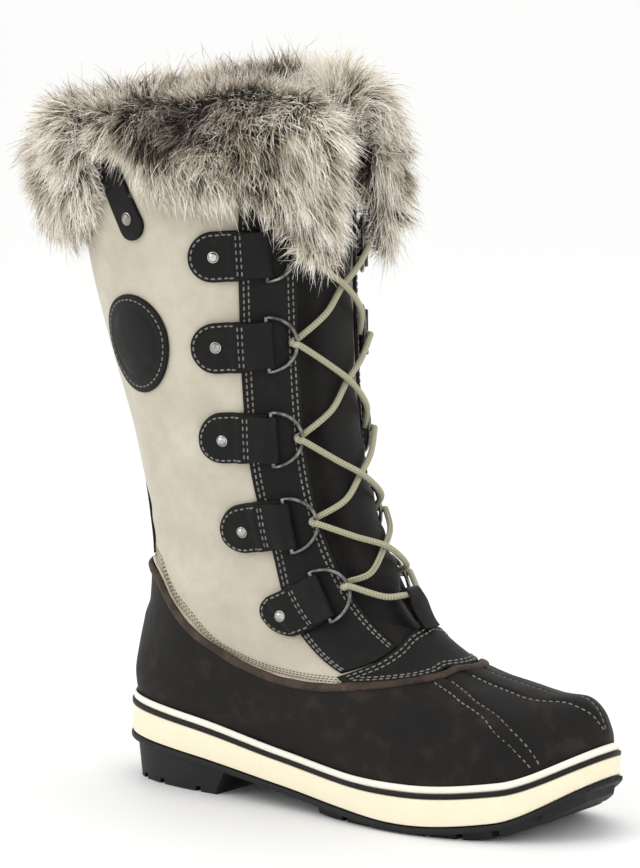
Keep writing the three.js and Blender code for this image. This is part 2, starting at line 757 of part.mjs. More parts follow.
// Where the face is hollow, as over the instep, the fold is lifted so that its ends clear it.
function foldCentre(sheet) {
  const middle = sheet.at(0, 0, 0);
  const rises = [-0.5, 0.5].map((share) => sheet.at(0, share * foldWidth, 0).sub(middle).dot(sheet.out));
  return middle.addScaledVector(sheet.out, foldHeight + Math.max(0, ...rises));
}
function tabSolid(tab, side) {
  const sheet = tabSheet(tab, side);
  const stations = roundEnded(tabLength, foldWidth / 2, tabWidth / 2, [0, 0.4, 0.62, 1]);
  stations[0].p = ringHole + clearance;
  const plate = sheetSolid(sheet, stations, tabInner(sheet), tabWall);
  return plate.add(foldSolid(sheet, foldCentre(sheet), ringHole, foldWidth));
}
const ringSides = 5;
const ringBowSteps = 6;
function ringSolidAt(tab, side) {
  const sheet = tabSheet(tab, side);
  const centre = foldCentre(sheet);
  const half = ringOpening / 2 + wireRadius;
  const path = [new THREE.Vector2(0, 0)];
  for (let i = 0; i <= ringBowSteps; i++) {
    const angle = Math.PI * (i / ringBowSteps - 0.5);
    path.push(new THREE.Vector2(-ringDepth * Math.cos(angle), half * Math.sin(angle)));
  }
  const rings = path.map((point, i) => {
    const before = path[(i + path.length - 1) % path.length];
    const after = path[(i + 1) % path.length];
    const along = after.clone().sub(before).normalize();
    const inPlane = sheet.pAxis.clone().multiplyScalar(along.y).addScaledVector(sheet.qAxis, -along.x);
    const here = centre.clone().addScaledVector(sheet.pAxis, point.x).addScaledVector(sheet.qAxis, point.y);
    return Array.from({ length: ringSides }, (_, n) => {
      const turn = (2 * Math.PI * n) / ringSides;
      return here.clone()
        .addScaledVector(inPlane, wireRadius * Math.cos(turn))
        .addScaledVector(sheet.out, wireRadius * Math.sin(turn));
    });
  });
  return ringSolid(rings, { closed: true });
}
function rivetSolid(sheet, p, q, offset) {
  const out = sheet.outAt(p, q);
  const profile = [[0, 0], [rivetRadius, 0], [0.82 * rivetRadius, 0.7 * rivetHeight], [0, rivetHeight]];
  const lathe = new THREE.LatheGeometry(profile.map(([x, y]) => new THREE.Vector2(x, y)), 7);
  const turn = new THREE.Quaternion().setFromUnitVectors(new THREE.Vector3(0, 1, 0), out);
  lathe.applyQuaternion(turn);
  const base = sheet.at(p, q, offset);
  lathe.translate(base.x, base.y, base.z);
  return solidOf(lathe);
}
const sides = [{ name: "outer", sign: 1 }, { name: "inner", sign: -1 }];
for (const side of sides) {
  tabRows.forEach((tab, i) => {
    const sheet = tabSheet(tab, side.sign);
    add(`tab_${side.name}_${i + 1}`, tabSolid(tab, side.sign), "dark");
    add(`ring_${side.name}_${i + 1}`, ringSolidAt(tab, side.sign), "metal");
    const under = tabInner(sheet);
    const top = Math.max(under(rivetSetback - rivetRadius), under(rivetSetback)) + tabWall + looseFit;
    add(`rivet_${side.name}_${i + 1}`, rivetSolid(sheet, rivetSetback, 0, top), "metal");
  });
}

// The leather loop at the throat's foot, with the lace through its folded end.
const laceRadius = laceDiameter / 2;
const loopRow = 7.0;
const loopHole = laceRadius + looseFit;
function loopSheet() {
  return drape(loopRow, 0, -90, 1);
}
const loopHeight = plugTo + clearance + loopHole + foldWall;
const loopCentre = (sheet) => sheet.at(0, 0, 0).addScaledVector(sheet.out, loopHeight);
function loopSolid() {
  const sheet = loopSheet();
  const stations = roundEnded(loopLength, loopWidth / 2, loopWidth / 2, [0, 0.4, 1]);
  stations[0].p = loopHole + clearance;
  const plate = sheetSolid(sheet, stations, () => plugTo + 2 * clearance, trimWall);
  return plate.add(foldSolid(sheet, loopCentre(sheet), loopHole, loopWidth));
}
add("lace_loop", loopSolid(), "dark");

// The lace: up from the loop, over, round and under each ring's wire, and across to the other side.
// It comes to a ring from low beside it, leaves it beside the throat's middle and crosses there.
const laceRise = tongueHeight + looseFit + laceRadius;
const hookRadius = wireRadius + laceRadius + looseFit;
const besideMiddle = 0.5;
const comingShare = 0.25;
const comingLift = 2.4;
const leavingShare = 0.28;
const leavingLift = 0.8;
const crossingShare = 0.54;
const hookAngles = [-25, 20, 65, 115, 160, 205];
const endAngles = [-30, 0, 50, 100];
function laceHook(tab, side, angles) {
  const sheet = tabSheet(tab, side);
  const wire = foldCentre(sheet).addScaledVector(sheet.pAxis, -ringDepth);
  return angles.map((degrees) => {
    const angle = THREE.MathUtils.degToRad(degrees);
    return wire.clone()
      .addScaledVector(sheet.pAxis, hookRadius * Math.sin(angle))
      .addScaledVector(sheet.out, hookRadius * Math.cos(angle));
  });
}
// A path that is stepped through its own points, straight from each to the next.
class RoutePath extends THREE.Curve {
  constructor(points) {
    super();
    this.points = points;
  }
  getPoint(t) {
    const place = clamp(t, 0, 1) * (this.points.length - 1);
    const i = Math.min(Math.floor(place), this.points.length - 2);
    return this.points[i].clone().lerp(this.points[i + 1], place - i);
  }
  getPointAt(t) {
    return this.getPoint(t);
  }
  getTangentAt(t) {
    const half = 0.5 / (this.points.length - 1);
    return this.getPoint(t + half).sub(this.getPoint(t - half)).normalize();
  }
}
function laceRoute(start) {
  const low = tabRows.length - 1;
  const sheet = loopSheet();
  const through = loopCentre(sheet);
  const besideLoop = loopWidth / 2 + laceRadius + looseFit;
  const points = [through.clone(), through.clone().addScaledVector(sheet.qAxis, start * besideLoop)];
  const beside = throatHalf * besideMiddle;
  let side = start;
  for (let i = low; i >= 0; i--) {
    const tab = tabRows[i];
    const before = i === low ? mix(loopRow, tab.row, 0.5) : mix(tab.row, tabRows[i + 1].row, comingShare);
    points.push(arcPoint(before, side * beside, laceRise + comingLift));
    if (i === 0) {
      points.push(...laceHook(tab, side, endAngles));
      break;
    }
    const next = tabRows[i - 1].row;
    points.push(...laceHook(tab, side, hookAngles));
    points.push(arcPoint(mix(tab.row, next, leavingShare), side * beside, laceRise + leavingLift));
    points.push(arcPoint(mix(tab.row, next, crossingShare), 0, laceRise));
    side = -side;
  }
  return points;
}
function laceSolid() {
  const section = new THREE.Shape();
  for (let n = 0; n < laceSides; n++) {
    const angle = (2 * Math.PI * n) / laceSides;
    const move = n ? "lineTo" : "moveTo";
    section[move](laceRadius * Math.cos(angle), laceRadius * Math.sin(angle));
  }
  const strand = (start) => {
    const points = laceRoute(start);
    const along = { steps: points.length - 1, bevelEnabled: false, extrudePath: new RoutePath(points) };
    return solidOf(new THREE.ExtrudeGeometry(section, along));
  };
  return strand(1).add(strand(-1));
}
add("lace", laceSolid(), "lace");

add("back_stay", backstaySolid(), "dark");

// The bare round patch on the outer side.
const patchRow = 11.02;
const patchSetback = 119.5;
const patchSides = 20;
function patchSolid() {
  const sheet = drape(patchRow, patchSetback, 0, 1);
  const outline = (offset) => Array.from({ length: patchSides }, (_, i) => {
    const angle = (2 * Math.PI * i) / patchSides;
    return sheet.at(patchRadius * Math.cos(angle), patchRadius * Math.sin(angle), offset);
  });
  const cutter = ringSolid([outline(knifeInside), outline(knifeOutside)]);
  return bandSolid(clearance, clearance + trimWall).intersect(cutter);
}
add("side_patch", patchSolid(), "dark");

// The pull strap with its round end and rivet, at the back of the outer side.
const strapRow = 12.95;
const strapSetback = 137;
const strapTilt = -114;
const strapFrom = clearance + 0.15;
const strapSheet = drape(strapRow, strapSetback, strapTilt, 1);
function strapSolid() {
  const stations = roundEnded(strapLength, strapWidth / 2, strapWidth / 2, [0, 0.33, 0.66, 1]);
  return sheetSolid(strapSheet, stations, () => strapFrom, strapWall);
}
add("pull_strap", strapSolid(), "dark");
const strapRivetPlace = strapLength - 0.75 * strapWidth;
const strapRivet = rivetSolid(strapSheet, strapRivetPlace, 0, strapFrom + strapWall + clearance);
add("pull_strap_rivet", strapRivet, "metal");

// The sole's outline: the lowest section pushed out level by an offset.
function solePoint(turn, offset, z) {
  const point = facePoint(turn, 0);
  const along = facePoint(turn + turnStep, 0).sub(facePoint(turn - turnStep, 0));
  const out = new THREE.Vector3(-along.y, along.x, 0).normalize();
  const centre = facePoint(0, 0).add(facePoint(0.5, 0)).multiplyScalar(0.5);
  if (out.dot(point.clone().sub(centre)) < 0) out.negate();
  point.addScaledVector(out, offset);
  point.z = typeof z === "function" ? z(point.x) : z;
  return point;
}
// A slab with the sole's outline: its two faces are ladders of rungs from side to side.
function soleSlab(count, lower, upper) {
  const ring = (face) => Array.from({ length: count }, (_, i) => solePoint(i / count, face.offset, face.z));
  const points = [...ring(lower), ...ring(upper)];
  const faces = [];
  for (let i = 0; i < count; i++) {
    const j = (i + 1) % count;
    faces.push([i, j, count + j], [i, count + j, count + i]);
  }
  for (let i = 0; i < count / 2; i++) {
    const far = (k) => (count - k) % count;
    const quad = [i, i + 1, far(i + 1), far(i)];
    for (const [a, b, c] of [[0, 1, 2], [0, 2, 3]]) {
      const face = [quad[a], quad[b], quad[c]];
      if (new Set(face).size < 3) continue;
      faces.push([face[0], face[2], face[1]], face.map((k) => k + count));
    }
  }
  return solidOf(geometryOf(points, faces));
}
function blockSolid(x0, x1, y, z0, z1, lean = 0) {
  const corner = (x, side, z) => new THREE.Vector3(x + lean * (z - z0), side * y, z);
  const ring = (z) => [corner(x0, -1, z), corner(x1, -1, z), corner(x1, 1, z), corner(x0, 1, z)];
  return ringSolid([ring(z0), ring(z1)]);
}

// The outsole: lip plate, heel block and forefoot lugs, flat on the floor under heel and ball.
const plateGap = 1.9;
const plateTop = (x) => soleTop(x) - plateGap;
const plateUnder = (x) => plateTop(x) - lipHeight;
const heelBack = soleBack + heelBlockInset;
const heelBreast = heelBack + heelBlockLength;
const sideTaper = 1;
const sink = 1;
const belowFloor = 1;
const aboveHeel = heelHeight + 9;
const grooveShares = [0.2, 0.42, 0.8];
const foreShare = 0.5;
function outsoleSolid() {
  const plate = soleSlab(soleSections,
    { offset: lipTo - sideTaper, z: plateUnder },
    { offset: lipTo, z: plateTop });
  const inset = lipTo - heelBlockInset;
  let heel = soleSlab(soleSections,
    { offset: inset - heelBlockTaper, z: 0 },
    { offset: inset, z: (x) => plateUnder(x) + sink });
  const lean = -breastSlant / (heelHeight - lipHeight);
  const beyond = heelBreast + soleLength;
  heel = heel.subtract(blockSolid(heelBreast, beyond, ballWidth, -belowFloor, aboveHeel, -lean));
  for (const share of grooveShares) {
    const x = mix(heelBack, heelBreast, share);
    heel = heel.subtract(blockSolid(x, x + grooveWidth, ballWidth, -belowFloor, grooveDepth));
  }
  const lugs = soleSlab(soleSections,
    { offset: lipTo - lugInset, z: (x) => Math.max(0, plateUnder(x) - lugHeight) },
    { offset: lipTo - lugInset + sideTaper, z: (x) => plateUnder(x) + sink });
  const lugStart = mix(soleBack, soleBack + soleLength, foreShare);
  let fore = lugs.subtract(blockSolid(soleBack - cutMargin, lugStart, ballWidth, -belowFloor, aboveHeel));
  for (let x = lugStart + lugPitch; x < soleBack + soleLength - lugPitch / 2; x += lugPitch) {
    const roof = plateUnder(x + grooveWidth / 2);
    fore = fore.subtract(blockSolid(x, x + grooveWidth, ballWidth, -belowFloor, roof - looseFit));
  }
  return plate.add(heel).add(fore);
}
add("outsole", outsoleSolid(), "rubber");

// The foxing: its inner face follows the shell, its outer face stands upright in three steps.
const rimRowAt = (turn) => rimRow(soleShare(facePoint(turn, 0).x));
const creamShare = 0.63;
const stripeShare = 0.79;
function foxingHeightAt(turn, share) {
  return facePoint(turn, rimRowAt(turn) * share).z;
}
const footGap = plateGap - looseFit;
function foxingSolid() {
  const rings = Array.from({ length: soleSections }, (_, i) => {
    const turn = i / soleSections;
    const top = rimRowAt(turn);
    const out = (share, offset) => solePoint(turn, offset, foxingHeightAt(turn, share));
    const foot = layerPoint(turn, 0, foxingFrom + looseFit);
    foot.z = soleTop(foot.x) - footGap;
    const toe = out(0, creamTo);
    toe.z = soleTop(toe.x) - footGap;
    return [
      foot,
      toe,
      out(creamShare, creamTo),
      out(creamShare, creamTo - stripeInlay),
      out(stripeShare, creamTo - stripeInlay),
      out(stripeShare, creamTo - whiteBandStep),
      out(1, creamTo - whiteBandStep),
      layerPoint(turn, top, foxingFrom + looseFit),
    ];
  });
  return ringSolid(rings, { closed: true });
}
add("foxing", foxingSolid(), "cream");
function stripeSolid() {
  const rings = Array.from({ length: soleSections }, (_, i) => {
    const turn = i / soleSections;
    const low = foxingHeightAt(turn, creamShare) + clearance;
    const high = foxingHeightAt(turn, stripeShare) - clearance;
    const inside = creamTo - stripeInlay + clearance;
    const outside = creamTo + stripeProud;
    return [
      solePoint(turn, inside, low),
      solePoint(turn, outside, low),
      solePoint(turn, outside, high),
      solePoint(turn, inside, high),
    ];
  });
  return ringSolid(rings, { closed: true });
}
add("foxing_stripe", stripeSolid(), "rubber");

// The insole, lying on the sole plate inside the upper's foot.
const insoleTopRow = 0.2;
function insoleSolid() {
  const offset = -upperWall - 2 * looseFit;
  const top = facePoint(0.25, insoleTopRow).z - facePoint(0.25, 0).z;
  return soleSlab(soleSections,
    { offset, z: (x) => plateTop(x) + 2 * looseFit },
    { offset: offset + clearance, z: (x) => soleTop(x) + Math.min(insoleThickness, top) + clearance });
}
add("insole", insoleSolid(), "lining");

// The cuff: a roll of fur hooked over the collar and folded down outside, open at the slit.
const cuffDrop = tableCurve(cuffLine, "share");
const cuffSteps = 30;
const flapShare = 0.36;
const flapFade = 0.14;
const flapGain = 5;
const frontFade = 1.2;
const lipGap = 0.9;
const lipStep = 0.4;
const legGap = 0.5;
const cuffRoom = 5;
function cuffFrame(share) {
  const girth = 2 * halfGirth(collarRow);
  const arc = slitHalf + share * (girth - 2 * slitHalf);
  const turn = arc < girth / 2 ? turnAt(collarRow, arc) : 1 + turnAt(collarRow, arc - girth);
  const fromSlit = 1 - Math.abs(2 * share - 1);
  const drop = cuffReach * cuffDrop(fromSlit);
  const overThroat = ease((flapShare - fromSlit) / flapFade);
  const rowsPerMm = rowsUp(turn, collarRow - pastEnd, 1);
  const place = (out, up) => layerPoint(turn, collarRow + up * rowsPerMm, out);
  const rise = cuffRise + frontRiseGain * (1 - ease(fromSlit * frontFade));
  return { drop, rise, overThroat, place };
}
const laceTop = foldHeight + wireRadius + laceDiameter + cuffRoom;
function cuffRing(share) {
  const { drop, rise, overThroat, place } = cuffFrame(share);
  const inner = mix(clearance + trimWall + looseFit, laceTop, overThroat);
  const lip = clearance + lipGap;
  const leg = mix(-cuffLeg, lip + lipStep, overThroat);
  const thick = cuffThickness + flapGain * overThroat;
  const side = -upperWall - clearance - legGap;
  return [
    place(inner, -0.88 * drop),
    place(inner, -0.5 * drop),
    place(inner, lip),
    place(side, lip + lipStep / 2),
    place(side, leg),
    place(side - cuffLining, leg + 1),
    place(side - cuffLining, 0.45 * rise),
    place(side, 0.86 * rise),
    place(0.28 * thick, rise),
    place(0.72 * thick, 0.7 * rise),
    place(thick, 0.05 * rise),
    place(thick, -0.5 * drop),
    place(0.86 * thick, -0.82 * drop),
    place(mix(inner, thick, 0.4), -drop),
  ];
}
// Even scatter of places for the locks, the same on every run.
function scatter(count) {
  const golden = 0.618034;
  const plastic = 0.754878;
  return Array.from({ length: count }, (_, i) => ({
    share: (i + 0.5) / count,
    up: (i * golden) % 1,
    lean: (i * plastic) % 1,
  }));
}
const lockRoot = 5;
const lockProud = 2;
const lockTip = 0.5;
const lockSides = 4;
function lockSolid({ share, up, lean }) {
  const { drop, rise, overThroat, place } = cuffFrame(mix(0.02, 0.98, share));
  const thick = cuffThickness + flapGain * overThroat;
  const height = mix(-0.92 * drop, 0.85 * rise, up);
  const shoulder = height > 0 ? mix(1, 0.5, height / rise) : mix(1, 0.78, clamp(-height / drop, 0, 1) ** 3);
  const bulk = thick * shoulder;
  const root = place(bulk - lockRoot, height);
  const fall = mix(0.5, 0.95, lean) * (height > 0.4 * rise ? -0.9 : 1);
  const tip = place(bulk + lockLength * (1 - Math.abs(fall)) * 0.55 + lockProud, height - lockLength * fall);
  const axis = tip.clone().sub(root).normalize();
  const side = new THREE.Vector3(0, 0, 1).cross(axis).normalize();
  const over = axis.clone().cross(side);
  const ring = (centre, radius) => Array.from({ length: lockSides }, (_, n) => {
    const angle = (2 * Math.PI * n) / lockSides;
    return centre.clone()
      .addScaledVector(side, radius * Math.cos(angle))
      .addScaledVector(over, radius * Math.sin(angle));
  });
  return { root, solid: ringSolid([ring(root, lockRadius), ring(tip, lockTip)]) };
}
const partingMargin = 2.5;
function cuffSolid() {
  const rings = Array.from({ length: cuffSteps + 1 }, (_, i) => cuffRing(i / cuffSteps));
  let fur = ringSolid(rings);
  const strapMiddle = strapSheet.at(strapLength / 2, 0, cuffThickness);
  for (const spot of scatter(lockCount)) {
    const lock = lockSolid(spot);
    if (lock.root.distanceTo(strapMiddle) > strapLength / 2 + lockLength) fur = fur.add(lock.solid);
  }
  const partingHalf = strapWidth / 2 + partingMargin;
  const parting = roundEnded(strapLength + 2 * partingMargin, partingHalf, partingHalf, [0, 0.33, 0.66, 1]);
  for (const station of parting) station.p -= partingMargin;
  const groove = sheetSolid(strapSheet, parting, () => -partingMargin, cuffThickness + lockLength);
  return fur.subtract(groove);
}
add("fur_cuff", cuffSolid(), "fur");

export default boot;
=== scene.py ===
"""A right-foot snow boot, dressed: suede shaft, waxed shell, laced throat, fur cuff and rubber sole."""
import logging
import math
from dataclasses import dataclass, field
from enum import Enum
from typing import Callable, Sequence

import bmesh
import bpy
import numpy as np
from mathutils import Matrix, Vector


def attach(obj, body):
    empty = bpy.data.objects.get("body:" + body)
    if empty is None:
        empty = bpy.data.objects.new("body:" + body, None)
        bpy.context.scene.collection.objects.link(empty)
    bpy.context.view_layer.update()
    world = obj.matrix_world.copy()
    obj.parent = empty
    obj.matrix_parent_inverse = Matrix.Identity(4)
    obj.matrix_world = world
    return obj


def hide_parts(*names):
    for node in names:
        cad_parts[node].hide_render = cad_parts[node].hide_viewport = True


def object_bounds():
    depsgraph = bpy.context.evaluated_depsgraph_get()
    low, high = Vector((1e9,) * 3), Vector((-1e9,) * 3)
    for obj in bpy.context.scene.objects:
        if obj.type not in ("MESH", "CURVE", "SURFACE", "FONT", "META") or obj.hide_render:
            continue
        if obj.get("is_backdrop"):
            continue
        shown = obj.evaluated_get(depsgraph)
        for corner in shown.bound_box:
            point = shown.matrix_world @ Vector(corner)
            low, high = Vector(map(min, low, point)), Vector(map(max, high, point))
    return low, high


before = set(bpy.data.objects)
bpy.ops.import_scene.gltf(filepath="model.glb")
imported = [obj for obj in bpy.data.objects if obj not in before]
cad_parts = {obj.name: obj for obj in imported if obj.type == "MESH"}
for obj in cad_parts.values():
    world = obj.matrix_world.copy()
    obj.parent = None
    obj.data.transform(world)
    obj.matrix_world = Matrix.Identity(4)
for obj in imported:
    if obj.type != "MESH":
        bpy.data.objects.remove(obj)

CAD_LOW, CAD_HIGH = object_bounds()
LOG = logging.getLogger("boot")
MM = 0.001
Array = np.ndarray

# Steps of turn and row over which directions along the boot's face are measured
TURN_STEP = 2e-3
ROW_STEP = 0.02


class Side(Enum):
    """The two sides of the throat: the sign is that of an arc length from the front."""

    OUTER = 1
    INNER = -1


def linear(hex_colour: str) -> tuple[float, float, float, float]:
    """Turns an sRGB hex colour into linear RGBA."""
    values = [int(hex_colour[i:i + 2], 16) / 255 for i in (1, 3, 5)]
    red, green, blue = (v / 12.92 if v <= 0.04045 else ((v + 0.055) / 1.055) ** 2.4 for v in values)
    return red, green, blue, 1.0


def smooth_through(xs: Sequence[float], ys: Array, x: Array) -> Array:
    """Reads a smooth curve through points: cubic spans, flat at each peak, straight beyond the ends.

    Args:
        xs: places of the points, rising.
        ys: their values, of shape (n,) or (n, *x.shape).
        x: where to read the curve.
    Returns:
        The values, with the shape of x.
    """
    x = np.asarray(x, dtype=float)
    xs = np.asarray(xs, dtype=float)
    ys = np.asarray(ys, dtype=float)
    if ys.ndim == 1:
        ys = ys.reshape(-1, *([1] * x.ndim))
    gaps = np.diff(xs).reshape(-1, *([1] * x.ndim))
    slope = np.diff(ys, axis=0) / gaps
    before, after = slope[:-1], slope[1:]
    total = np.where(before * after > 0, before + after, 1.0)
    middle = np.where(before * after > 0, 2 * before * after / total, 0.0)
    tangent = np.concatenate([slope[:1], middle, slope[-1:]])
    ys = np.broadcast_to(ys, (len(xs), *x.shape))
    tangent = np.broadcast_to(tangent, (len(xs), *x.shape))
    i = np.clip(np.searchsorted(xs, x) - 1, 0, len(xs) - 2)
    pick = lambda table, k: np.take_along_axis(table, k[None], 0)[0]
    span = xs[i + 1] - xs[i]
    t = (x - xs[i]) / span
    low, high, out, into = pick(ys, i), pick(ys, i + 1), pick(tangent, i), pick(tangent, i + 1)
    value = low * (2 * t**3 - 3 * t**2 + 1) + out * span * (t**3 - 2 * t**2 + t)
    value = value + high * (3 * t**2 - 2 * t**3) + into * span * (t**3 - t**2)
    value = np.where(t < 0, low + out * (x - xs[0]), value)
    return np.where(t > 1, high + into * (x - xs[-1]), value)


def ease(t: Array) -> Array:
    """A soft step from 0 to 1."""
    t = np.clip(t, 0, 1)
    return t * t * (3 - 2 * t)


def mix(a: Array, b: Array, t: Array) -> Array:
    """Between a and b by the share t."""
    return a + (b - a) * t


def unit(v: Array) -> Array:
    """Vectors of length one."""
    return v / np.maximum(np.linalg.norm(v, axis=-1, keepdims=True), 1e-12)


def edged(count: int, length: float, radius: float = 1.0) -> Array:
    """Shares from 0 to 1, close together within a radius of both ends."""
    near = radius / length * (1 - np.cos(np.linspace(0, math.pi / 2, 4)))
    return np.concatenate([near, np.linspace(near[-1], 1 - near[-1], count)[1:-1], 1 - near[::-1]])


def rounding(distance: Array, radius: float) -> Array:
    """How far a rounded edge falls below its face at a distance from the edge: a quarter circle."""
    reach = np.clip(1 - distance / radius, 0, 1)
    return radius * (1 - np.sqrt(1 - reach**2))


@dataclass(frozen=True)
class LastRow:
    """One section of the last, in shares of the foot's and leg's named sizes."""

    back: float
    front: float
    heel: float
    waist: float
    ball: float
    toe: float
    back_rise: float = 1
    back_climb: float = 0
    front_rise: float = 1
    front_climb: float = 0
    rocker: float = 0
    heel_round: float = 1
    toe_round: float = 1
    swing: float = 0
    on_leg: bool = False


LAST_ROWS = (
    LastRow(back=.001, back_rise=0, front=.999, front_rise=0, rocker=1, heel=.329, waist=.305, ball=.45,
            toe=.4, heel_round=.72, toe_round=1.11, swing=.08),
    LastRow(back=-.008, back_rise=.25, front=1.005, front_rise=.22, rocker=1, heel=.358, waist=.335,
            ball=.481, toe=.425, heel_round=.73, toe_round=1.07, swing=.08),
    LastRow(back=-.013, back_rise=.384, front=.996, front_rise=.37, rocker=.95, heel=.37, waist=.36,
            ball=.484, toe=.405, heel_round=.76, toe_round=1.06, swing=.08),
    LastRow(back=-.009, back_rise=.506, front=.962, front_rise=.532, rocker=.8, heel=.367, waist=.368,
            ball=.472, toe=.36, heel_round=.82, toe_round=1.03, swing=.08),
    LastRow(back=-.003, back_rise=.616, front=.88, front_rise=.605, rocker=.6, heel=.36, waist=.372,
            ball=.448, toe=.315, heel_round=.9, swing=.06),
    LastRow(back=.004, back_rise=.726, front=.765, front_rise=.672, rocker=.4, heel=.351, waist=.384,
            ball=.412, toe=.268, swing=.04),
    LastRow(back=.021, back_rise=.86, front=.668, front_rise=.81, rocker=.25, heel=.34, waist=.384,
            ball=.378, toe=.256, swing=.02),
    LastRow(back=.024, back_rise=1, front=.594, front_rise=1.02, rocker=.12, heel=.322, waist=.395,
            ball=.372, toe=.256),
    LastRow(back=.022, back_climb=.066, front=.537, front_climb=.1, rocker=.05, heel=.31, waist=.407,
            ball=.384, toe=.267),
    LastRow(back=.014, back_climb=.146, front=.498, front_climb=.19, heel=.243, waist=.334, ball=.317,
            toe=.222, on_leg=True),
    LastRow(back=-.009, back_climb=.303, front=.462, front_climb=.337, heel=.284, waist=.392, ball=.371,
            toe=.259, on_leg=True),
    LastRow(back=-.064, back_climb=.523, front=.441, front_climb=.574, heel=.341, waist=.47, ball=.44,
            toe=.304, on_leg=True),
    LastRow(back=-.112, back_climb=.71, front=.435, front_climb=.795, heel=.36, waist=.5, ball=.47,
            toe=.326, on_leg=True),
    LastRow(back=-.15, back_climb=.94, front=.437, front_climb=1, heel=.375, waist=.515, ball=.488,
            toe=.34, on_leg=True),
)
COLLAR = len(LAST_ROWS) - 1
# Shares of a section's length at which its heel, waist, ball and toe widths lie
WIDTH_PLACES = np.array([0.15, 0.42, 0.68, 0.88])


@dataclass(frozen=True)
class Line:
    """A smooth line: values at places along something, both as shares or row numbers."""

    at: tuple[float, ...]
    value: tuple[float, ...]

    def __call__(self, x: Array) -> Array:
        """The line's value at x."""
        return smooth_through(self.at, np.array(self.value), x)


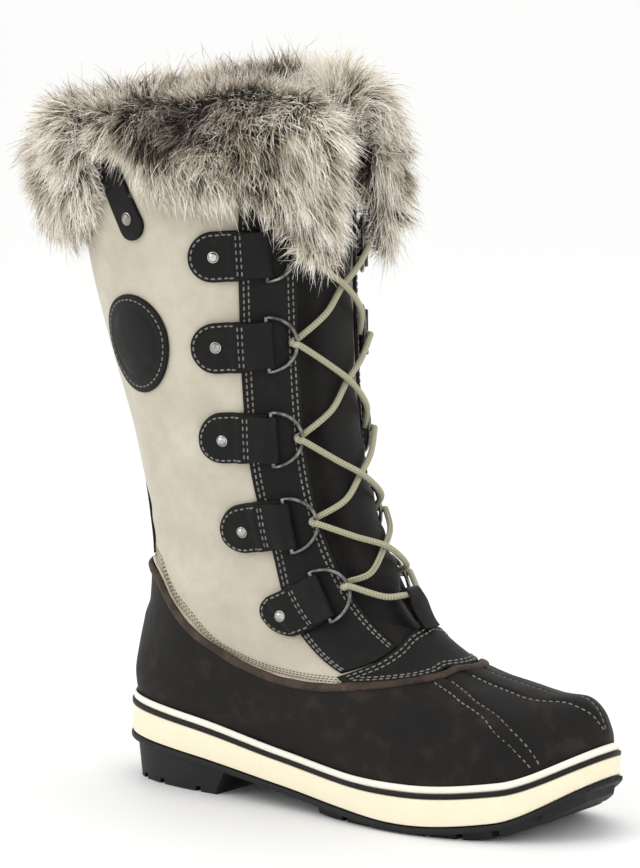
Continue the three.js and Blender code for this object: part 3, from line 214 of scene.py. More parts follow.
@dataclass(frozen=True)
class BootForm:
    """The boot's outer face as a function of turn and row, in millimetres.

    Turn 0 is the front, 0.25 the outer side and 0.5 the back. A row's section hangs on a chord from its
    back to its front; its half width is the fullness at that place times a power of the sine.
    """

    foot_length: float = 270
    heel_setback: float = 30.5
    ball_width: float = 87
    heel_height: float = 26.5
    instep_height: float = 82
    shaft_height: float = 236
    calf_width: float = 116
    toe_spring: float = 32
    tread_depth: float = 6
    upper_wall: float = 3
    shell_wall: float = 2.2
    facing_wall: float = 1.6
    plug_wall: float = 2.2
    clearance: float = 0.3
    loose_fit: float = 0.6
    foxing_wall: float = 4.9
    lip_overhang: float = 0.8
    throat_half: float = 25.5
    facing_width: float = 29.5
    facing_flare: float = 26
    binding_radius: float = 1.9
    plug_turn: float = 0.195
    plug_side_row: float = 5
    plug_least: float = 3
    ball_share: float = 0.69
    flare_row: float = 8.6
    flare_rows: float = 4
    sole_lift: Line = Line((0, .2, .4, .55, .69, .86, 1), (1, .77, .38, .14, 0, .19, 1))
    rim: Line = Line((0, .2, .42, .56, .7, .86, 1), (.98, .93, .84, .86, 1.01, 1.03, .98))
    last_curve: Line = Line((0, .22, .45, .7, 1), (.18, .04, -.5, .17, 1.96))
    shell_edge: Line = Line(
        (0, .1, .17, .26, .38, .47, .54, .6, .64, .7, .79, .88, 1),
        (5.1, 5.08, 4.87, 4.57, 4.12, 3.8, 3.62, 3.92, 4.55, 5.54, 6.98, 7.25, 7.3))
    plug_edge: Line = Line((0, .25, .53, .75, 1), (6.42, 6.26, 5.77, 5.27, 4.6))

    @property
    def shell_to(self) -> float:
        """Distance of the shell's outer face from the upper's."""
        return self.clearance + self.shell_wall

    @property
    def foxing_from(self) -> float:
        """Distance of the foxing's inner face from the upper's."""
        return self.shell_to + self.clearance

    @property
    def cream_to(self) -> float:
        """Distance of the cream band's outer face from the upper's."""
        return self.foxing_from + self.foxing_wall

    @property
    def lip_to(self) -> float:
        """Distance of the sole lip's edge from the upper's face."""
        return self.cream_to + self.lip_overhang

    @property
    def sole_back(self) -> float:
        """Place of the sole's rearmost point."""
        return -self.heel_setback - self.lip_to

    @property
    def sole_length(self) -> float:
        """Length of the sole over its lip."""
        return self.foot_length + 2 * self.lip_to

    def column(self, read: Callable[[LastRow], float], row: Array) -> Array:
        """One column of the sections, smooth over the row number."""
        return smooth_through(range(COLLAR + 1), np.array([read(r) for r in LAST_ROWS]), row)

    def sole_share(self, x: Array) -> Array:
        """The place along the sole, from 0 at its back to 1 at its toe."""
        return np.clip((x - self.sole_back) / self.sole_length, 0, 1)

    def sole_top(self, x: Array) -> Array:
        """Height of the sole's top plate: the lift is a share of the heel's or the toe's height."""
        share = self.sole_share(x)
        end = np.where(share < self.ball_share, self.heel_height, self.toe_spring)
        return self.tread_depth + self.sole_lift(share) * (end - self.tread_depth)

    def face(self, turn: Array, row: Array) -> Array:
        """Points of the upper's outer face."""
        turn, row = np.broadcast_arrays(np.asarray(turn, float), np.asarray(row, float))
        place = lambda share: share * self.foot_length - self.heel_setback
        x0 = place(self.column(lambda r: r.back, row))
        x1 = place(self.column(lambda r: r.front, row))
        rise = lambda r, climb: self.heel_height + r * self.instep_height + climb * self.shaft_height
        z0 = self.column(lambda r: rise(r.back_rise, r.back_climb), row)
        z1 = self.column(lambda r: rise(r.front_rise, r.front_climb), row)
        heel_round = self.column(lambda r: r.heel_round, row)
        toe_round = self.column(lambda r: r.toe_round, row)
        girth = lambda r: self.calf_width if r.on_leg else self.ball_width
        reads = (lambda r: r.heel, lambda r: r.waist, lambda r: r.ball, lambda r: r.toe)
        widths = np.stack([self.column(lambda r, read=read: read(r) * girth(r), row) for read in reads])
        power = np.stack([mix(heel_round, toe_round, p) for p in WIDTH_PLACES])
        sine_there = 2 * np.sqrt(WIDTH_PLACES * (1 - WIDTH_PLACES)).reshape(-1, *([1] * row.ndim))
        knots = widths / sine_there**power
        angle = 2 * math.pi * turn
        share = (1 + np.cos(angle)) / 2
        sine = np.sin(angle)
        fullness = smooth_through(WIDTH_PLACES, knots, np.clip(share, 0.02, 0.98))
        half = fullness * np.abs(sine) ** mix(heel_round, toe_round, share)
        swing = self.column(lambda r: r.swing * self.ball_width, row)
        x = mix(x0, x1, share)
        y = swing * self.last_curve(share) - np.sign(sine) * half
        rocker = np.clip(self.column(lambda r: r.rocker, row), 0, 1)
        z = mix(z0, z1, share) + rocker * (self.sole_top(x) - self.heel_height)
        return np.stack([x, y, z], -1)

    def normal(self, turn: Array, row: Array) -> Array:
        """Outward normals: up the face crossed with round it, by differences."""
        turn, row = np.asarray(turn, float), np.asarray(row, float)
        around = self.face(turn + TURN_STEP, row) - self.face(turn - TURN_STEP, row)
        up = self.face(turn, row + ROW_STEP) - self.face(turn, row - ROW_STEP)
        return unit(np.cross(up, around))

    def layer(self, turn: Array, row: Array, offset: Array) -> Array:
        """Points at a distance outside the face."""
        return self.face(turn, row) + self.normal(turn, row) * np.asarray(offset, float)[..., None]

    def shell_top(self, turn: Array) -> Array:
        """Row of the shell's top edge."""
        turn = np.mod(turn, 1)
        return self.shell_edge(2 * np.minimum(turn, 1 - turn))

    def rows_up(self, turn: Array, row: Array, length: float) -> Array:
        """Rows gained by a length in millimetres up the face."""
        rise = np.linalg.norm(self.face(turn, row + 0.1) - self.face(turn, row - 0.1), axis=-1) / 0.2
        return length / rise

    def above_binding(self, turn: Array, extra: float = 0) -> Array:
        """Row just above the binding, or an extra length above that."""
        row = self.shell_top(turn)
        lift = 2 * (self.binding_radius + self.loose_fit) + 2 * self.loose_fit
        return row + self.rows_up(turn, row, lift + extra)

    def plug_top(self, turn: Array) -> Array:
        """Row of the plug's upper edge."""
        least = self.above_binding(turn) + self.rows_up(turn, self.plug_side_row, self.plug_least)
        return np.maximum(self.plug_edge(np.abs(turn) / self.plug_turn), least)

    def facing_back(self, row: Array) -> Array:
        """Arc length of a facing's back edge."""
        flare = ease((self.flare_row - row) / self.flare_rows)
        return self.throat_half + self.facing_width + self.facing_flare * flare


class ArcMap:
    """Arc lengths round each row from its front, tabled once and read between."""

    def __init__(self, form: BootForm) -> None:
        """Tables the lengths at even rows and half turns."""
        self.steps = 96
        self.gap = 0.1
        self.rows = np.arange(-0.6, COLLAR + 2.01, self.gap)
        turns = np.linspace(0, 0.5, self.steps + 1)
        points = form.face(turns[None, :], self.rows[:, None])
        gaps = np.linalg.norm(np.diff(points, axis=1), axis=-1)
        self.lengths = np.concatenate([np.zeros((len(self.rows), 1)), np.cumsum(gaps, axis=1)], axis=1)

    def at_rows(self, row: Array) -> Array:
        """The tables of the given rows, of shape (*row.shape, steps + 1)."""
        place = np.clip((row - self.rows[0]) / self.gap, 0, len(self.rows) - 1.001)
        i = place.astype(int)
        return mix(self.lengths[i], self.lengths[i + 1], (place - i)[..., None])

    def half_girth(self, row: Array) -> Array:
        """Arc length from the front to the back."""
        return self.at_rows(np.asarray(row, float))[..., -1]

    def turn(self, row: Array, arc: Array) -> Array:
        """The turn at a signed arc length: the table is searched and read between its steps."""
        row, arc = np.broadcast_arrays(np.asarray(row, float), np.asarray(arc, float))
        table = self.at_rows(row)
        reach = np.minimum(np.abs(arc), table[..., -1] - 1e-6)
        i = np.clip((table <= reach[..., None]).sum(-1) - 1, 0, self.steps - 1)[..., None]
        low = np.take_along_axis(table, i, -1)[..., 0]
        high = np.take_along_axis(table, i + 1, -1)[..., 0]
        share = (i[..., 0] + (reach - low) / (high - low)) / self.steps
        return 0.5 * share * np.where(arc < 0, -1, 1)

    def arc(self, turn: Array, row: Array) -> Array:
        """The signed arc length at a turn between -0.5 and 0.5."""
        turn, row = np.broadcast_arrays(np.asarray(turn, float), np.asarray(row, float))
        place = np.clip(np.abs(turn) * 2 * self.steps, 0, self.steps - 1e-6)
        i = place.astype(int)[..., None]
        table = self.at_rows(row)
        low = np.take_along_axis(table, i, -1)[..., 0]
        high = np.take_along_axis(table, i + 1, -1)[..., 0]
        return np.sign(turn) * mix(low, high, place - i[..., 0])


FORM = BootForm()
ARCS = ArcMap(FORM)


def arc_point(row: Array, arc: Array, offset: Array) -> Array:
    """Points of a layer by row and signed arc length."""
    row, arc = np.broadcast_arrays(np.asarray(row, float), np.asarray(arc, float))
    return FORM.layer(ARCS.turn(row, arc), row, offset)


def arc_normal(row: Array, arc: Array) -> Array:
    """Outward normals by row and signed arc length."""
    row, arc = np.broadcast_arrays(np.asarray(row, float), np.asarray(arc, float))
    return FORM.normal(ARCS.turn(row, arc), row)


class Drape:
    """A flat patch laid on the face: p runs to the rear and q up, both in millimetres from an anchor."""

    def __init__(self, row: float, arc: float, tilt: float, side: Side) -> None:
        """Finds the linear map from p and q to row and arc at the anchor."""
        self.row, self.arc, self.sign = row, arc, side.value
        step = 0.5
        here = arc_point(row, self.sign * arc, 0)
        along_arc = (arc_point(row, self.sign * (arc + step), 0) - here) / step
        along_row = (arc_point(row + ROW_STEP, self.sign * arc, 0) - here) / ROW_STEP
        self.out = arc_normal(row, self.sign * arc)
        rear = unit(along_arc)
        up = unit(np.cross(self.out, rear) * -self.sign)
        up = up if up[2] >= 0 else -up
        angle = math.radians(tilt)
        self.cos, self.sin = math.cos(angle), math.sin(angle)
        self.p_axis = rear * self.cos + up * self.sin
        self.q_axis = up * self.cos - rear * self.sin
        self.map = np.array([[along_arc @ rear, along_row @ rear], [along_arc @ up, along_row @ up]])

    def place(self, p: Array, q: Array) -> tuple[Array, Array]:
        """Row and signed arc of a point of the patch."""
        x = p * self.cos - q * self.sin
        y = p * self.sin + q * self.cos
        inverse = np.linalg.inv(self.map)
        arc = self.arc + inverse[0, 0] * x + inverse[0, 1] * y
        return self.row + inverse[1, 0] * x + inverse[1, 1] * y, self.sign * arc

    def at(self, p: Array, q: Array, offset: Array) -> Array:
        """A point of the patch at a distance off the face."""
        return arc_point(*self.place(p, q), offset)

    def normal(self, p: Array, q: Array) -> Array:
        """The face's normal under a point of the patch."""
        return arc_normal(*self.place(p, q))


def grid_faces(rows: int, cols: int, wrap_rows: bool = False, wrap_cols: bool = False) -> Array:
    """Quads of a grid of rows by cols points, numbered row by row."""
    i = np.arange(rows if wrap_rows else rows - 1)
    j = np.arange(cols if wrap_cols else cols - 1)
    i, j = np.meshgrid(i, j, indexing="ij")
    after, beside = (i + 1) % rows, (j + 1) % cols
    return np.stack([i * cols + j, i * cols + beside, after * cols + beside, after * cols + j],
                    -1).reshape(-1, 4)


def slab(outer: Array, inner: Array, wrap_cols: bool = False) -> tuple[Array, Array]:
    """A closed wall between two grids of points: both faces and the rims between them."""
    rows, cols = outer.shape[:2]
    faces = grid_faces(rows, cols, False, wrap_cols)
    count = rows * cols
    j = np.arange(cols if wrap_cols else cols - 1)
    k = (j + 1) % cols
    last = (rows - 1) * cols
    rims = [np.stack([j, j + count, k + count, k], -1),
            np.stack([last + j, last + k, last + k + count, last + j + count], -1)]
    if not wrap_cols:
        i = np.arange(rows - 1)
        low, high, end = i * cols, (i + 1) * cols, cols - 1
        rims.append(np.stack([low, high, high + count, low + count], -1))
        rims.append(np.stack([low + end, low + end + count, high + end + count, high + end], -1))
    points = np.concatenate([outer.reshape(-1, 3), inner.reshape(-1, 3)])
    return points, np.concatenate([faces, faces[:, ::-1] + count, *rims])


def tube(path: Array, radius: Array, sides: int, closed: bool = False) -> tuple[Array, Array, Array]:
    """A round tube along a path: each frame is the last one turned onto the new direction.

    Args:
        path: points of shape (n, 3).
        radius: one radius, or one for each point.
        sides: points round the tube.
        closed: joins the last ring to the first; otherwise both ends are closed to a point.
    Returns:
        Points, faces and for each point its length along the path and share round the tube.
    """
    ahead = np.roll(path, -1, 0) - np.roll(path, 1, 0)
    if not closed:
        ahead[0], ahead[-1] = path[1] - path[0], path[-1] - path[-2]
    ahead = unit(ahead)
    side = np.zeros_like(path)
    side[0] = unit(np.cross(ahead[0], [0.3, 0.2, 1.0]))
    for k in range(1, len(path)):
        side[k] = unit(side[k - 1] - ahead[k] * (side[k - 1] @ ahead[k]))
    over = np.cross(ahead, side)
    angle = 2 * math.pi * np.arange(sides) / sides
    radius = np.broadcast_to(radius, len(path))[:, None, None]
    ring = side[:, None] * np.cos(angle)[None, :, None] + over[:, None] * np.sin(angle)[None, :, None]
    points = path[:, None] + radius * ring
    length = np.concatenate([[0], np.cumsum(np.linalg.norm(np.diff(path, axis=0), axis=1))])
    if not closed:
        points = np.concatenate([np.repeat(path[:1, None], sides, 1), points,
                                 np.repeat(path[-1:, None], sides, 1)])
        length = np.concatenate([[0], length, length[-1:]])
    uv = np.stack(np.broadcast_arrays(length[:, None], (np.arange(sides) / sides)[None]), -1)
    return points.reshape(-1, 3), grid_faces(len(points), sides, closed, True), uv.reshape(-1, 2)


def spline(points: Array, samples: int, closed: bool = False) -> Array:
    """A curve through points, round each by the direction between its neighbours (Catmull and Rom)."""
    count = len(points)
    spans = count if closed else count - 1
    place = np.arange(spans * samples + (0 if closed else 1)) / samples
    i = np.minimum(place.astype(int), spans - 1)
    t = (place - i).reshape(-1, *([1] * (points.ndim - 1)))
    pick = (lambda k: points[np.mod(k, count)]) if closed else (lambda k: points[np.clip(k, 0, count - 1)])
    a, b, c, d = pick(i - 1), pick(i), pick(i + 1), pick(i + 2)
    return 0.5 * (2 * b + (c - a) * t + (2 * a - 5 * b + 4 * c - d) * t**2 + (3 * b - a - 3 * c + d) * t**3)


def outward(points: Array, faces: Array) -> Array:
    """The faces turned round if the solid's signed volume is negative."""
    a, b, c = points[faces[:, 0]], points[faces[:, 1]], points[faces[:, 2]]
    volume = np.einsum("ij,ij->", a, np.cross(b, c))
    if faces.shape[1] == 4:
        d = points[faces[:, 3]]
        volume += np.einsum("ij,ij->", a, np.cross(c, d))
    return faces if volume > 0 else faces[:, ::-1]


class Bench:
    """Where finished pieces are made into objects, tied to the frame and reported."""

    def __init__(self) -> None:
        """Starts with no materials made."""
        self.made: dict[str, bpy.types.Material] = {}

    def material(self, finish: "Finish") -> bpy.types.Material:
        """The material of a finish, made once."""
        if finish.name not in self.made:
            self.made[finish.name] = finish.build()
        return self.made[finish.name]

    def piece(self, name: str, parts: Sequence[tuple[Array, Array]], finishes: Sequence["Finish"],
              nodes: Sequence[str] = (), uv: Array | None = None, index: Array | None = None,
              weld: bool = True, crease: float = 42) -> bpy.types.Object:
        """Makes one object from closed shells of points in millimetres.

        Args:
            name: the piece's name.
            parts: pairs of points and faces, each closed.
            finishes: its materials; index picks one for each face.
            nodes: the solids that it replaces.
            uv: a coordinate for each point, where the finish follows the surface.
            index: material number of each face, before welding.
            weld: merges doubled points, as at poles.
            crease: angle in degrees past which an edge stays sharp.
        Returns:
            The object.
        """
        shift = np.cumsum([0] + [len(points) for points, _ in parts])
        points = np.concatenate([points for points, _ in parts]) * MM
        faces = np.concatenate([outward(*part) + start for part, start in zip(parts, shift)])
        mesh = bpy.data.meshes.new(name)
        mesh.from_pydata(points, [], faces.tolist())
        if index is not None:
            mesh.polygons.foreach_set("material_index", np.asarray(index, dtype=np.int32))
        if uv is not None:
            mesh.uv_layers.new(name="UVMap").data.foreach_set("uv", uv[faces].astype(np.float32).ravel())
        if weld:
            work = bmesh.new()
            work.from_mesh(mesh)
            bmesh.ops.remove_doubles(work, verts=work.verts, dist=1e-6)
            bmesh.ops.dissolve_degenerate(work, edges=work.edges, dist=1e-7)
            work.to_mesh(mesh)
            work.free()
        mesh.polygons.foreach_set("use_smooth", np.ones(len(mesh.polygons), dtype=bool))
        mesh.set_sharp_from_angle(angle=math.radians(crease))
        for finish in finishes:
            mesh.materials.append(self.material(finish))
        made = bpy.data.objects.new(name, mesh)
        bpy.context.scene.collection.objects.link(made)
        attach(made, "root")
        if nodes:
            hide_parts(*nodes)
        LOG.info("%s: %d faces for %s", name, len(mesh.polygons), ", ".join(nodes) or "trim")
        return made


def add_node(tree: bpy.types.NodeTree, kind: str, inputs: dict | None = None, **settings) -> bpy.types.Node:
    """Adds a node: inputs are values or sockets by name or number, settings its own properties."""
    made = tree.nodes.new(kind)
    for key, value in settings.items():
        setattr(made, key, value)
    for key, source in (inputs or {}).items():
        if isinstance(source, bpy.types.NodeSocket):
            tree.links.new(source, made.inputs[key])
        else:
            made.inputs[key].default_value = source
    return made


@dataclass(frozen=True)
class Finish:
    """What every finish has: its name, colours and roughness."""

    name: str
    base: str
    shade: str
    light: str
    roughness: float = 0.7

    def start(self) -> tuple[bpy.types.Material, bpy.types.NodeTree, bpy.types.NodeSocket]:
        """An empty material, its tree and its object coordinates."""
        made = bpy.data.materials.new(self.name)
        made.use_nodes = True
        made.node_tree.nodes.clear()
        coordinates = add_node(made.node_tree, "ShaderNodeTexCoord")
        return made, made.node_tree, coordinates.outputs["Object"]

    def noise(self, tree: bpy.types.NodeTree, where: bpy.types.NodeSocket, size_mm: float,
              low: float = 0.35, high: float = 0.65, detail: float = 3) -> bpy.types.NodeSocket:
        """Cloudy noise whose lumps are size_mm across, spread to run from 0 to 1."""
        cloud = add_node(tree, "ShaderNodeTexNoise",
                         {"Vector": where, "Scale": 1 / (size_mm * MM), "Detail": detail})
        spread = add_node(tree, "ShaderNodeMapRange",
                          {"Value": cloud.outputs["Fac"], "From Min": low, "From Max": high})
        return spread.outputs["Result"]

    def blend(self, tree: bpy.types.NodeTree, share: object, a: object, b: object) -> bpy.types.NodeSocket:
        """Colour between a and b by share."""
        return add_node(tree, "ShaderNodeMix", {0: share, 6: a, 7: b}, data_type="RGBA").outputs[2]

    def tint(self, tree: bpy.types.NodeTree, colour: object, other: str, share: object,
             amount: float) -> bpy.types.NodeSocket:
        """A colour moved towards another by an amount times a share."""
        return self.blend(tree, self.number(tree, "MULTIPLY", share, amount), colour, linear(other))

    def number(self, tree: bpy.types.NodeTree, what: str, *values: object) -> bpy.types.NodeSocket:
        """A sum, product or other number worked out from sockets and values."""
        return add_node(tree, "ShaderNodeMath", dict(enumerate(values)), operation=what).outputs[0]

    def finish(self, made: bpy.types.Material, tree: bpy.types.NodeTree, height: bpy.types.NodeSocket,
               depth_mm: float, **sockets: object) -> bpy.types.Material:
        """Ends a material: a bump of a real depth and the surface with the sockets given by name."""
        bump = add_node(tree, "ShaderNodeBump",
                        {"Strength": 1.0, "Distance": depth_mm * MM, "Height": height})
        named = {key.replace("_", " "): value for key, value in sockets.items()}
        surface = add_node(tree, "ShaderNodeBsdfPrincipled", {"Normal": bump.outputs["Normal"], **named})
        add_node(tree, "ShaderNodeOutputMaterial", {"Surface": surface.outputs["BSDF"]})
        return made


@dataclass(frozen=True)
class Suede(Finish):
    """Brushed split leather: matt and cloudy, its nap lying this way and that."""

    cloud_mm: float = 34
    nap_mm: float = 1.1
    depth_mm: float = 0.16
    sheen: float = 0.25
    lightening: float = 0.55
    darkening: float = 0.25
    nap_shade: float = 0.18

    def build(self) -> bpy.types.Material:
        """Soft clouds of the three colours over a fine nap."""
        made, tree, where = self.start()
        clouds = self.noise(tree, where, self.cloud_mm)
        drift = self.noise(tree, where, self.cloud_mm / 5, detail=5)
        nap = self.noise(tree, where, self.nap_mm, 0.2, 0.8, detail=4)
        colour = self.tint(tree, linear(self.base), self.light, clouds, self.lightening)
        colour = self.tint(tree, colour, self.shade, drift, self.darkening)
        colour = self.tint(tree, colour, self.shade, nap, self.nap_shade)
        height = self.number(tree, "ADD", nap, self.number(tree, "MULTIPLY", drift, 0.8))
        return self.finish(made, tree, height, self.depth_mm, Base_Color=colour, Roughness=self.roughness,
                           Sheen_Weight=self.sheen, Sheen_Roughness=0.5, Specular_IOR_Level=0.2)


@dataclass(frozen=True)
class Hide(Finish):
    """Dyed leather: pebbled grain, cloudy wax and paler scuffs where it is rubbed."""

    cloud_mm: float = 26
    grain_mm: float = 1.3
    depth_mm: float = 0.12
    scuff: float = 0.35
    speck_mm: float = 1.6
    speck_shade: float = 0.22
    gloss_swing: float = 0.14

    def build(self) -> bpy.types.Material:
        """Pebbles from cells, clouds of wax, and scuffs where two noises meet."""
        made, tree, where = self.start()
        clouds = self.noise(tree, where, self.cloud_mm, detail=5)
        rub = self.noise(tree, where, self.cloud_mm / 3, 0.48, 0.72, detail=6)
        speck = self.noise(tree, where, self.speck_mm, 0.4, 0.7)
        cells = add_node(tree, "ShaderNodeTexVoronoi",
                         {"Vector": where, "Scale": 1 / (self.grain_mm * MM)}, feature="F1")
        fine = self.noise(tree, where, self.grain_mm / 2, 0.2, 0.8)
        colour = self.blend(tree, clouds, linear(self.shade), linear(self.base))
        worn = self.number(tree, "MULTIPLY", rub, clouds)
        colour = self.tint(tree, colour, self.light, worn, self.scuff)
        colour = self.tint(tree, colour, self.shade, speck, self.speck_shade)
        rough = add_node(tree, "ShaderNodeMapRange", {
            "Value": clouds, "To Min": self.roughness - self.gloss_swing / 2,
            "To Max": self.roughness + self.gloss_swing / 2}).outputs["Result"]
        pebbles = self.number(tree, "MULTIPLY", cells.outputs["Distance"], 0.7)
        height = self.number(tree, "ADD", pebbles, self.number(tree, "MULTIPLY", fine, 0.5))
        return self.finish(made, tree, height, self.depth_mm, Base_Color=colour, Roughness=rough,
                           Specular_IOR_Level=0.2)


@dataclass(frozen=True)
class Rubber(Finish):
    """Moulded rubber: even colour with a faint bloom and a fine mould texture."""

    dust: float = 0.15
    dust_mm: float = 2.5
    bloom_mm: float = 18
    bloom: float = 0.5

    def build(self) -> bpy.types.Material:
        """A bloom of the lighter colour over fine mould grain."""
        made, tree, where = self.start()
        bloom = self.noise(tree, where, self.bloom_mm, detail=6)
        dust = self.noise(tree, where, self.dust_mm, 0.5, 0.75, detail=5)
        grain = self.noise(tree, where, 0.5, 0.2, 0.8)
        colour = self.tint(tree, linear(self.base), self.light, bloom, self.bloom)
        colour = self.tint(tree, colour, self.shade, dust, self.dust)
        return self.finish(made, tree, grain, 0.05, Base_Color=colour, Roughness=self.roughness,
                           Specular_IOR_Level=0.3)


@dataclass(frozen=True)
class Plate(Finish):
    """Nickel plated steel: bright, with cloudy tarnish and hair scratches."""

    def build(self) -> bpy.types.Material:
        """Tarnish clouds that dull the plating, over fine scratches."""
        made, tree, where = self.start()
        tarnish = self.noise(tree, where, 4, detail=4)
        scratch = self.noise(tree, where, 0.4, 0.2, 0.8)
        colour = self.blend(tree, tarnish, linear(self.base), linear(self.shade))
        rough = add_node(tree, "ShaderNodeMapRange", {
            "Value": tarnish, "To Min": self.roughness, "To Max": self.roughness + 0.2}).outputs["Result"]
        return self.finish(made, tree, scratch, 0.02, Base_Color=colour, Roughness=rough, Metallic=1.0)


@dataclass(frozen=True)
class Braid(Finish):
    """Round braided polyester cord: two sets of strands crossing slantwise, matt and a little hairy."""

    strand_mm: float = 1.5
    strands: int = 4

    def build(self) -> bpy.types.Material:
        """Strands as two slanting waves on the length and the share round the cord, with painted shade in the
        hollows between them.
        """
        made, tree, _ = self.start()
        spot = add_node(tree, "ShaderNodeUVMap", uv_map="UVMap")
        parts = add_node(tree, "ShaderNodeSeparateXYZ", {"Vector": spot.outputs["UV"]})
        along = self.number(tree, "MULTIPLY", parts.outputs["X"], math.pi / self.strand_mm)
        round_it = self.number(tree, "MULTIPLY", parts.outputs["Y"], 2 * math.pi * self.strands)
        one = self.number(tree, "SINE", self.number(tree, "ADD", along, round_it))
        two = self.number(tree, "SINE", self.number(tree, "SUBTRACT", along, round_it))
        weave_and_hollow_shade = self.number(tree, "MULTIPLY_ADD", self.number(tree, "MULTIPLY", one, two), 0.5, 0.5)
        # Painted shade: the colour runs to the shade colour where the strands' wave is low, in the hollows
        # between strands.
        colour = self.blend(tree, weave_and_hollow_shade, linear(self.shade), linear(self.base))
        return self.finish(made, tree, weave_and_hollow_shade, 0.25, Base_Color=colour, Roughness=self.roughness,
                           Sheen_Weight=0.2, Specular_IOR_Level=0.2)


@dataclass(frozen=True)
class Pile(Finish):
    """Faux fur hairs: dark roots, a brown-grey middle, cream ends and some dark tips."""

    pale: str = "#d0c4ae"
    tip: str = "#3b322a"
    patch_mm: float = 38
    tone_reach: float = 0.85
    tone_start: float = -0.26
    patch_reach: float = -0.28
    dark_tips: float = 0.18

    def build(self) -> bpy.types.Material:
        """Colour by the place along each hair, shifted by its clump's tone and by broad patches."""
        made, tree, where = self.start()
        spot = add_node(tree, "ShaderNodeUVMap", uv_map="UVMap")
        parts = add_node(tree, "ShaderNodeSeparateXYZ", {"Vector": spot.outputs["UV"]})
        tone, along = parts.outputs["X"], parts.outputs["Y"]
        patches = self.noise(tree, where, self.patch_mm, 0.4, 0.62, detail=2)
        shift = self.number(tree, "MULTIPLY_ADD", tone, self.tone_reach, self.tone_start)
        shift = self.number(tree, "MULTIPLY_ADD", patches, self.patch_reach, shift)
        place = self.number(tree, "ADD", along, shift)
        ramp = add_node(tree, "ShaderNodeValToRGB", {"Fac": place})
        stops = ((0.14, self.shade), (0.36, self.base), (0.53, self.pale), (0.72, self.light))
        while len(ramp.color_ramp.elements) < len(stops):
            ramp.color_ramp.elements.new(0.5)
        for element, (position, colour) in zip(ramp.color_ramp.elements, stops):
            element.position, element.color = position, linear(colour)
        own = self.number(tree, "FRACT", self.number(tree, "MULTIPLY", tone, 53.0))
        end = add_node(tree, "ShaderNodeMapRange", {"Value": along, "From Min": 0.7, "From Max": 0.92})
        chosen = self.number(tree, "GREATER_THAN", own, 1 - self.dark_tips)
        dark = self.number(tree, "MULTIPLY", chosen, end.outputs["Result"])
        colour = self.blend(tree, dark, ramp.outputs["Color"], linear(self.tip))
        return self.finish(made, tree, along, 0.02, Base_Color=colour, Roughness=self.roughness,
                           Sheen_Weight=0.15, Specular_IOR_Level=0.3)


SUEDE = Suede("brushed_beige_suede", "#bbb4a3", "#aea591", "#d8d2c2", 0.92)
SHELL = Hide("waxed_charcoal_nubuck", "#1a1714", "#0c0a09", "#4a3f32", 0.6, cloud_mm=30, grain_mm=0.9,
             depth_mm=0.12)
TRIM = Hide("dark_grain_leather", "#12100f", "#090808", "#2c2724", 0.55, cloud_mm=16, grain_mm=1.2,
            depth_mm=0.16)
TONGUE = Hide("soft_dark_nubuck", "#141210", "#0b0a09", "#2e271f", 0.62, cloud_mm=24, grain_mm=1.0,
              depth_mm=0.14)
BINDING = Hide("rolled_brown_binding", "#4a3c34", "#2e2520", "#675649", 0.6, cloud_mm=10, grain_mm=0.8,
               depth_mm=0.1)
PIPING = Hide("pale_piping", "#d8cfbd", "#b3a892", "#ece6d9", 0.7, cloud_mm=12, grain_mm=0.9, depth_mm=0.08)
CREAM = Rubber("cream_foxing_rubber", "#f3e9cd", "#d8cdb0", "#f6eed6", 0.45, dust=0.12)
WHITE = Rubber("white_rim_rubber", "#f3eee0", "#dcd4c0", "#f7f4ea", 0.45, dust=0.1)
BLACK = Rubber("black_stripe_rubber", "#0b0908", "#1a1614", "#110f0d", 0.55)
TREAD = Rubber("black_sole_rubber", "#141416", "#2a2a2c", "#1c1d1f", 0.6, dust=0.25)
FLEECE = Suede("grey_felt_lining", "#85796b", "#6a6055", "#a1968a", 0.97, cloud_mm=12, nap_mm=1.6,
               depth_mm=0.6)
NICKEL = Plate("dark_nickel_plate", "#8f8d8a", "#4f4d4b", "#b5b3b0", 0.24)
SILVER = Plate("bright_nickel_plate", "#c9c7c4", "#8d8b88", "#e2e0dc", 0.2)
# Its shade colour is painted shade in the hollows of the braid.
CORD = Braid("sage_braided_cord", "#bfbc9f", "#85826a", "#d3cfb6", 0.85)
THREAD = Hide("grey_thread", "#827f78", "#74716c", "#aaa7a0", 0.7, cloud_mm=6, grain_mm=0.5, depth_mm=0.05)
FINE_THREAD = Hide("olive_thread", "#75694f", "#564b3a", "#8c826b", 0.8, cloud_mm=6, grain_mm=0.5,
                   depth_mm=0.05)
# The fur core: the backing's own colour, made darker as painted shade in the gaps between the hairs.
UNDERFUR_AND_PILE_SHADE = Suede("fur_backing_and_pile_shade", "#40362e", "#241d18", "#5c5046", 0.95, cloud_mm=30, nap_mm=2.2, depth_mm=1.2)
FUR = Pile("faux_fur", "#978975", "#261d16", "#fdf7ec", 0.55)


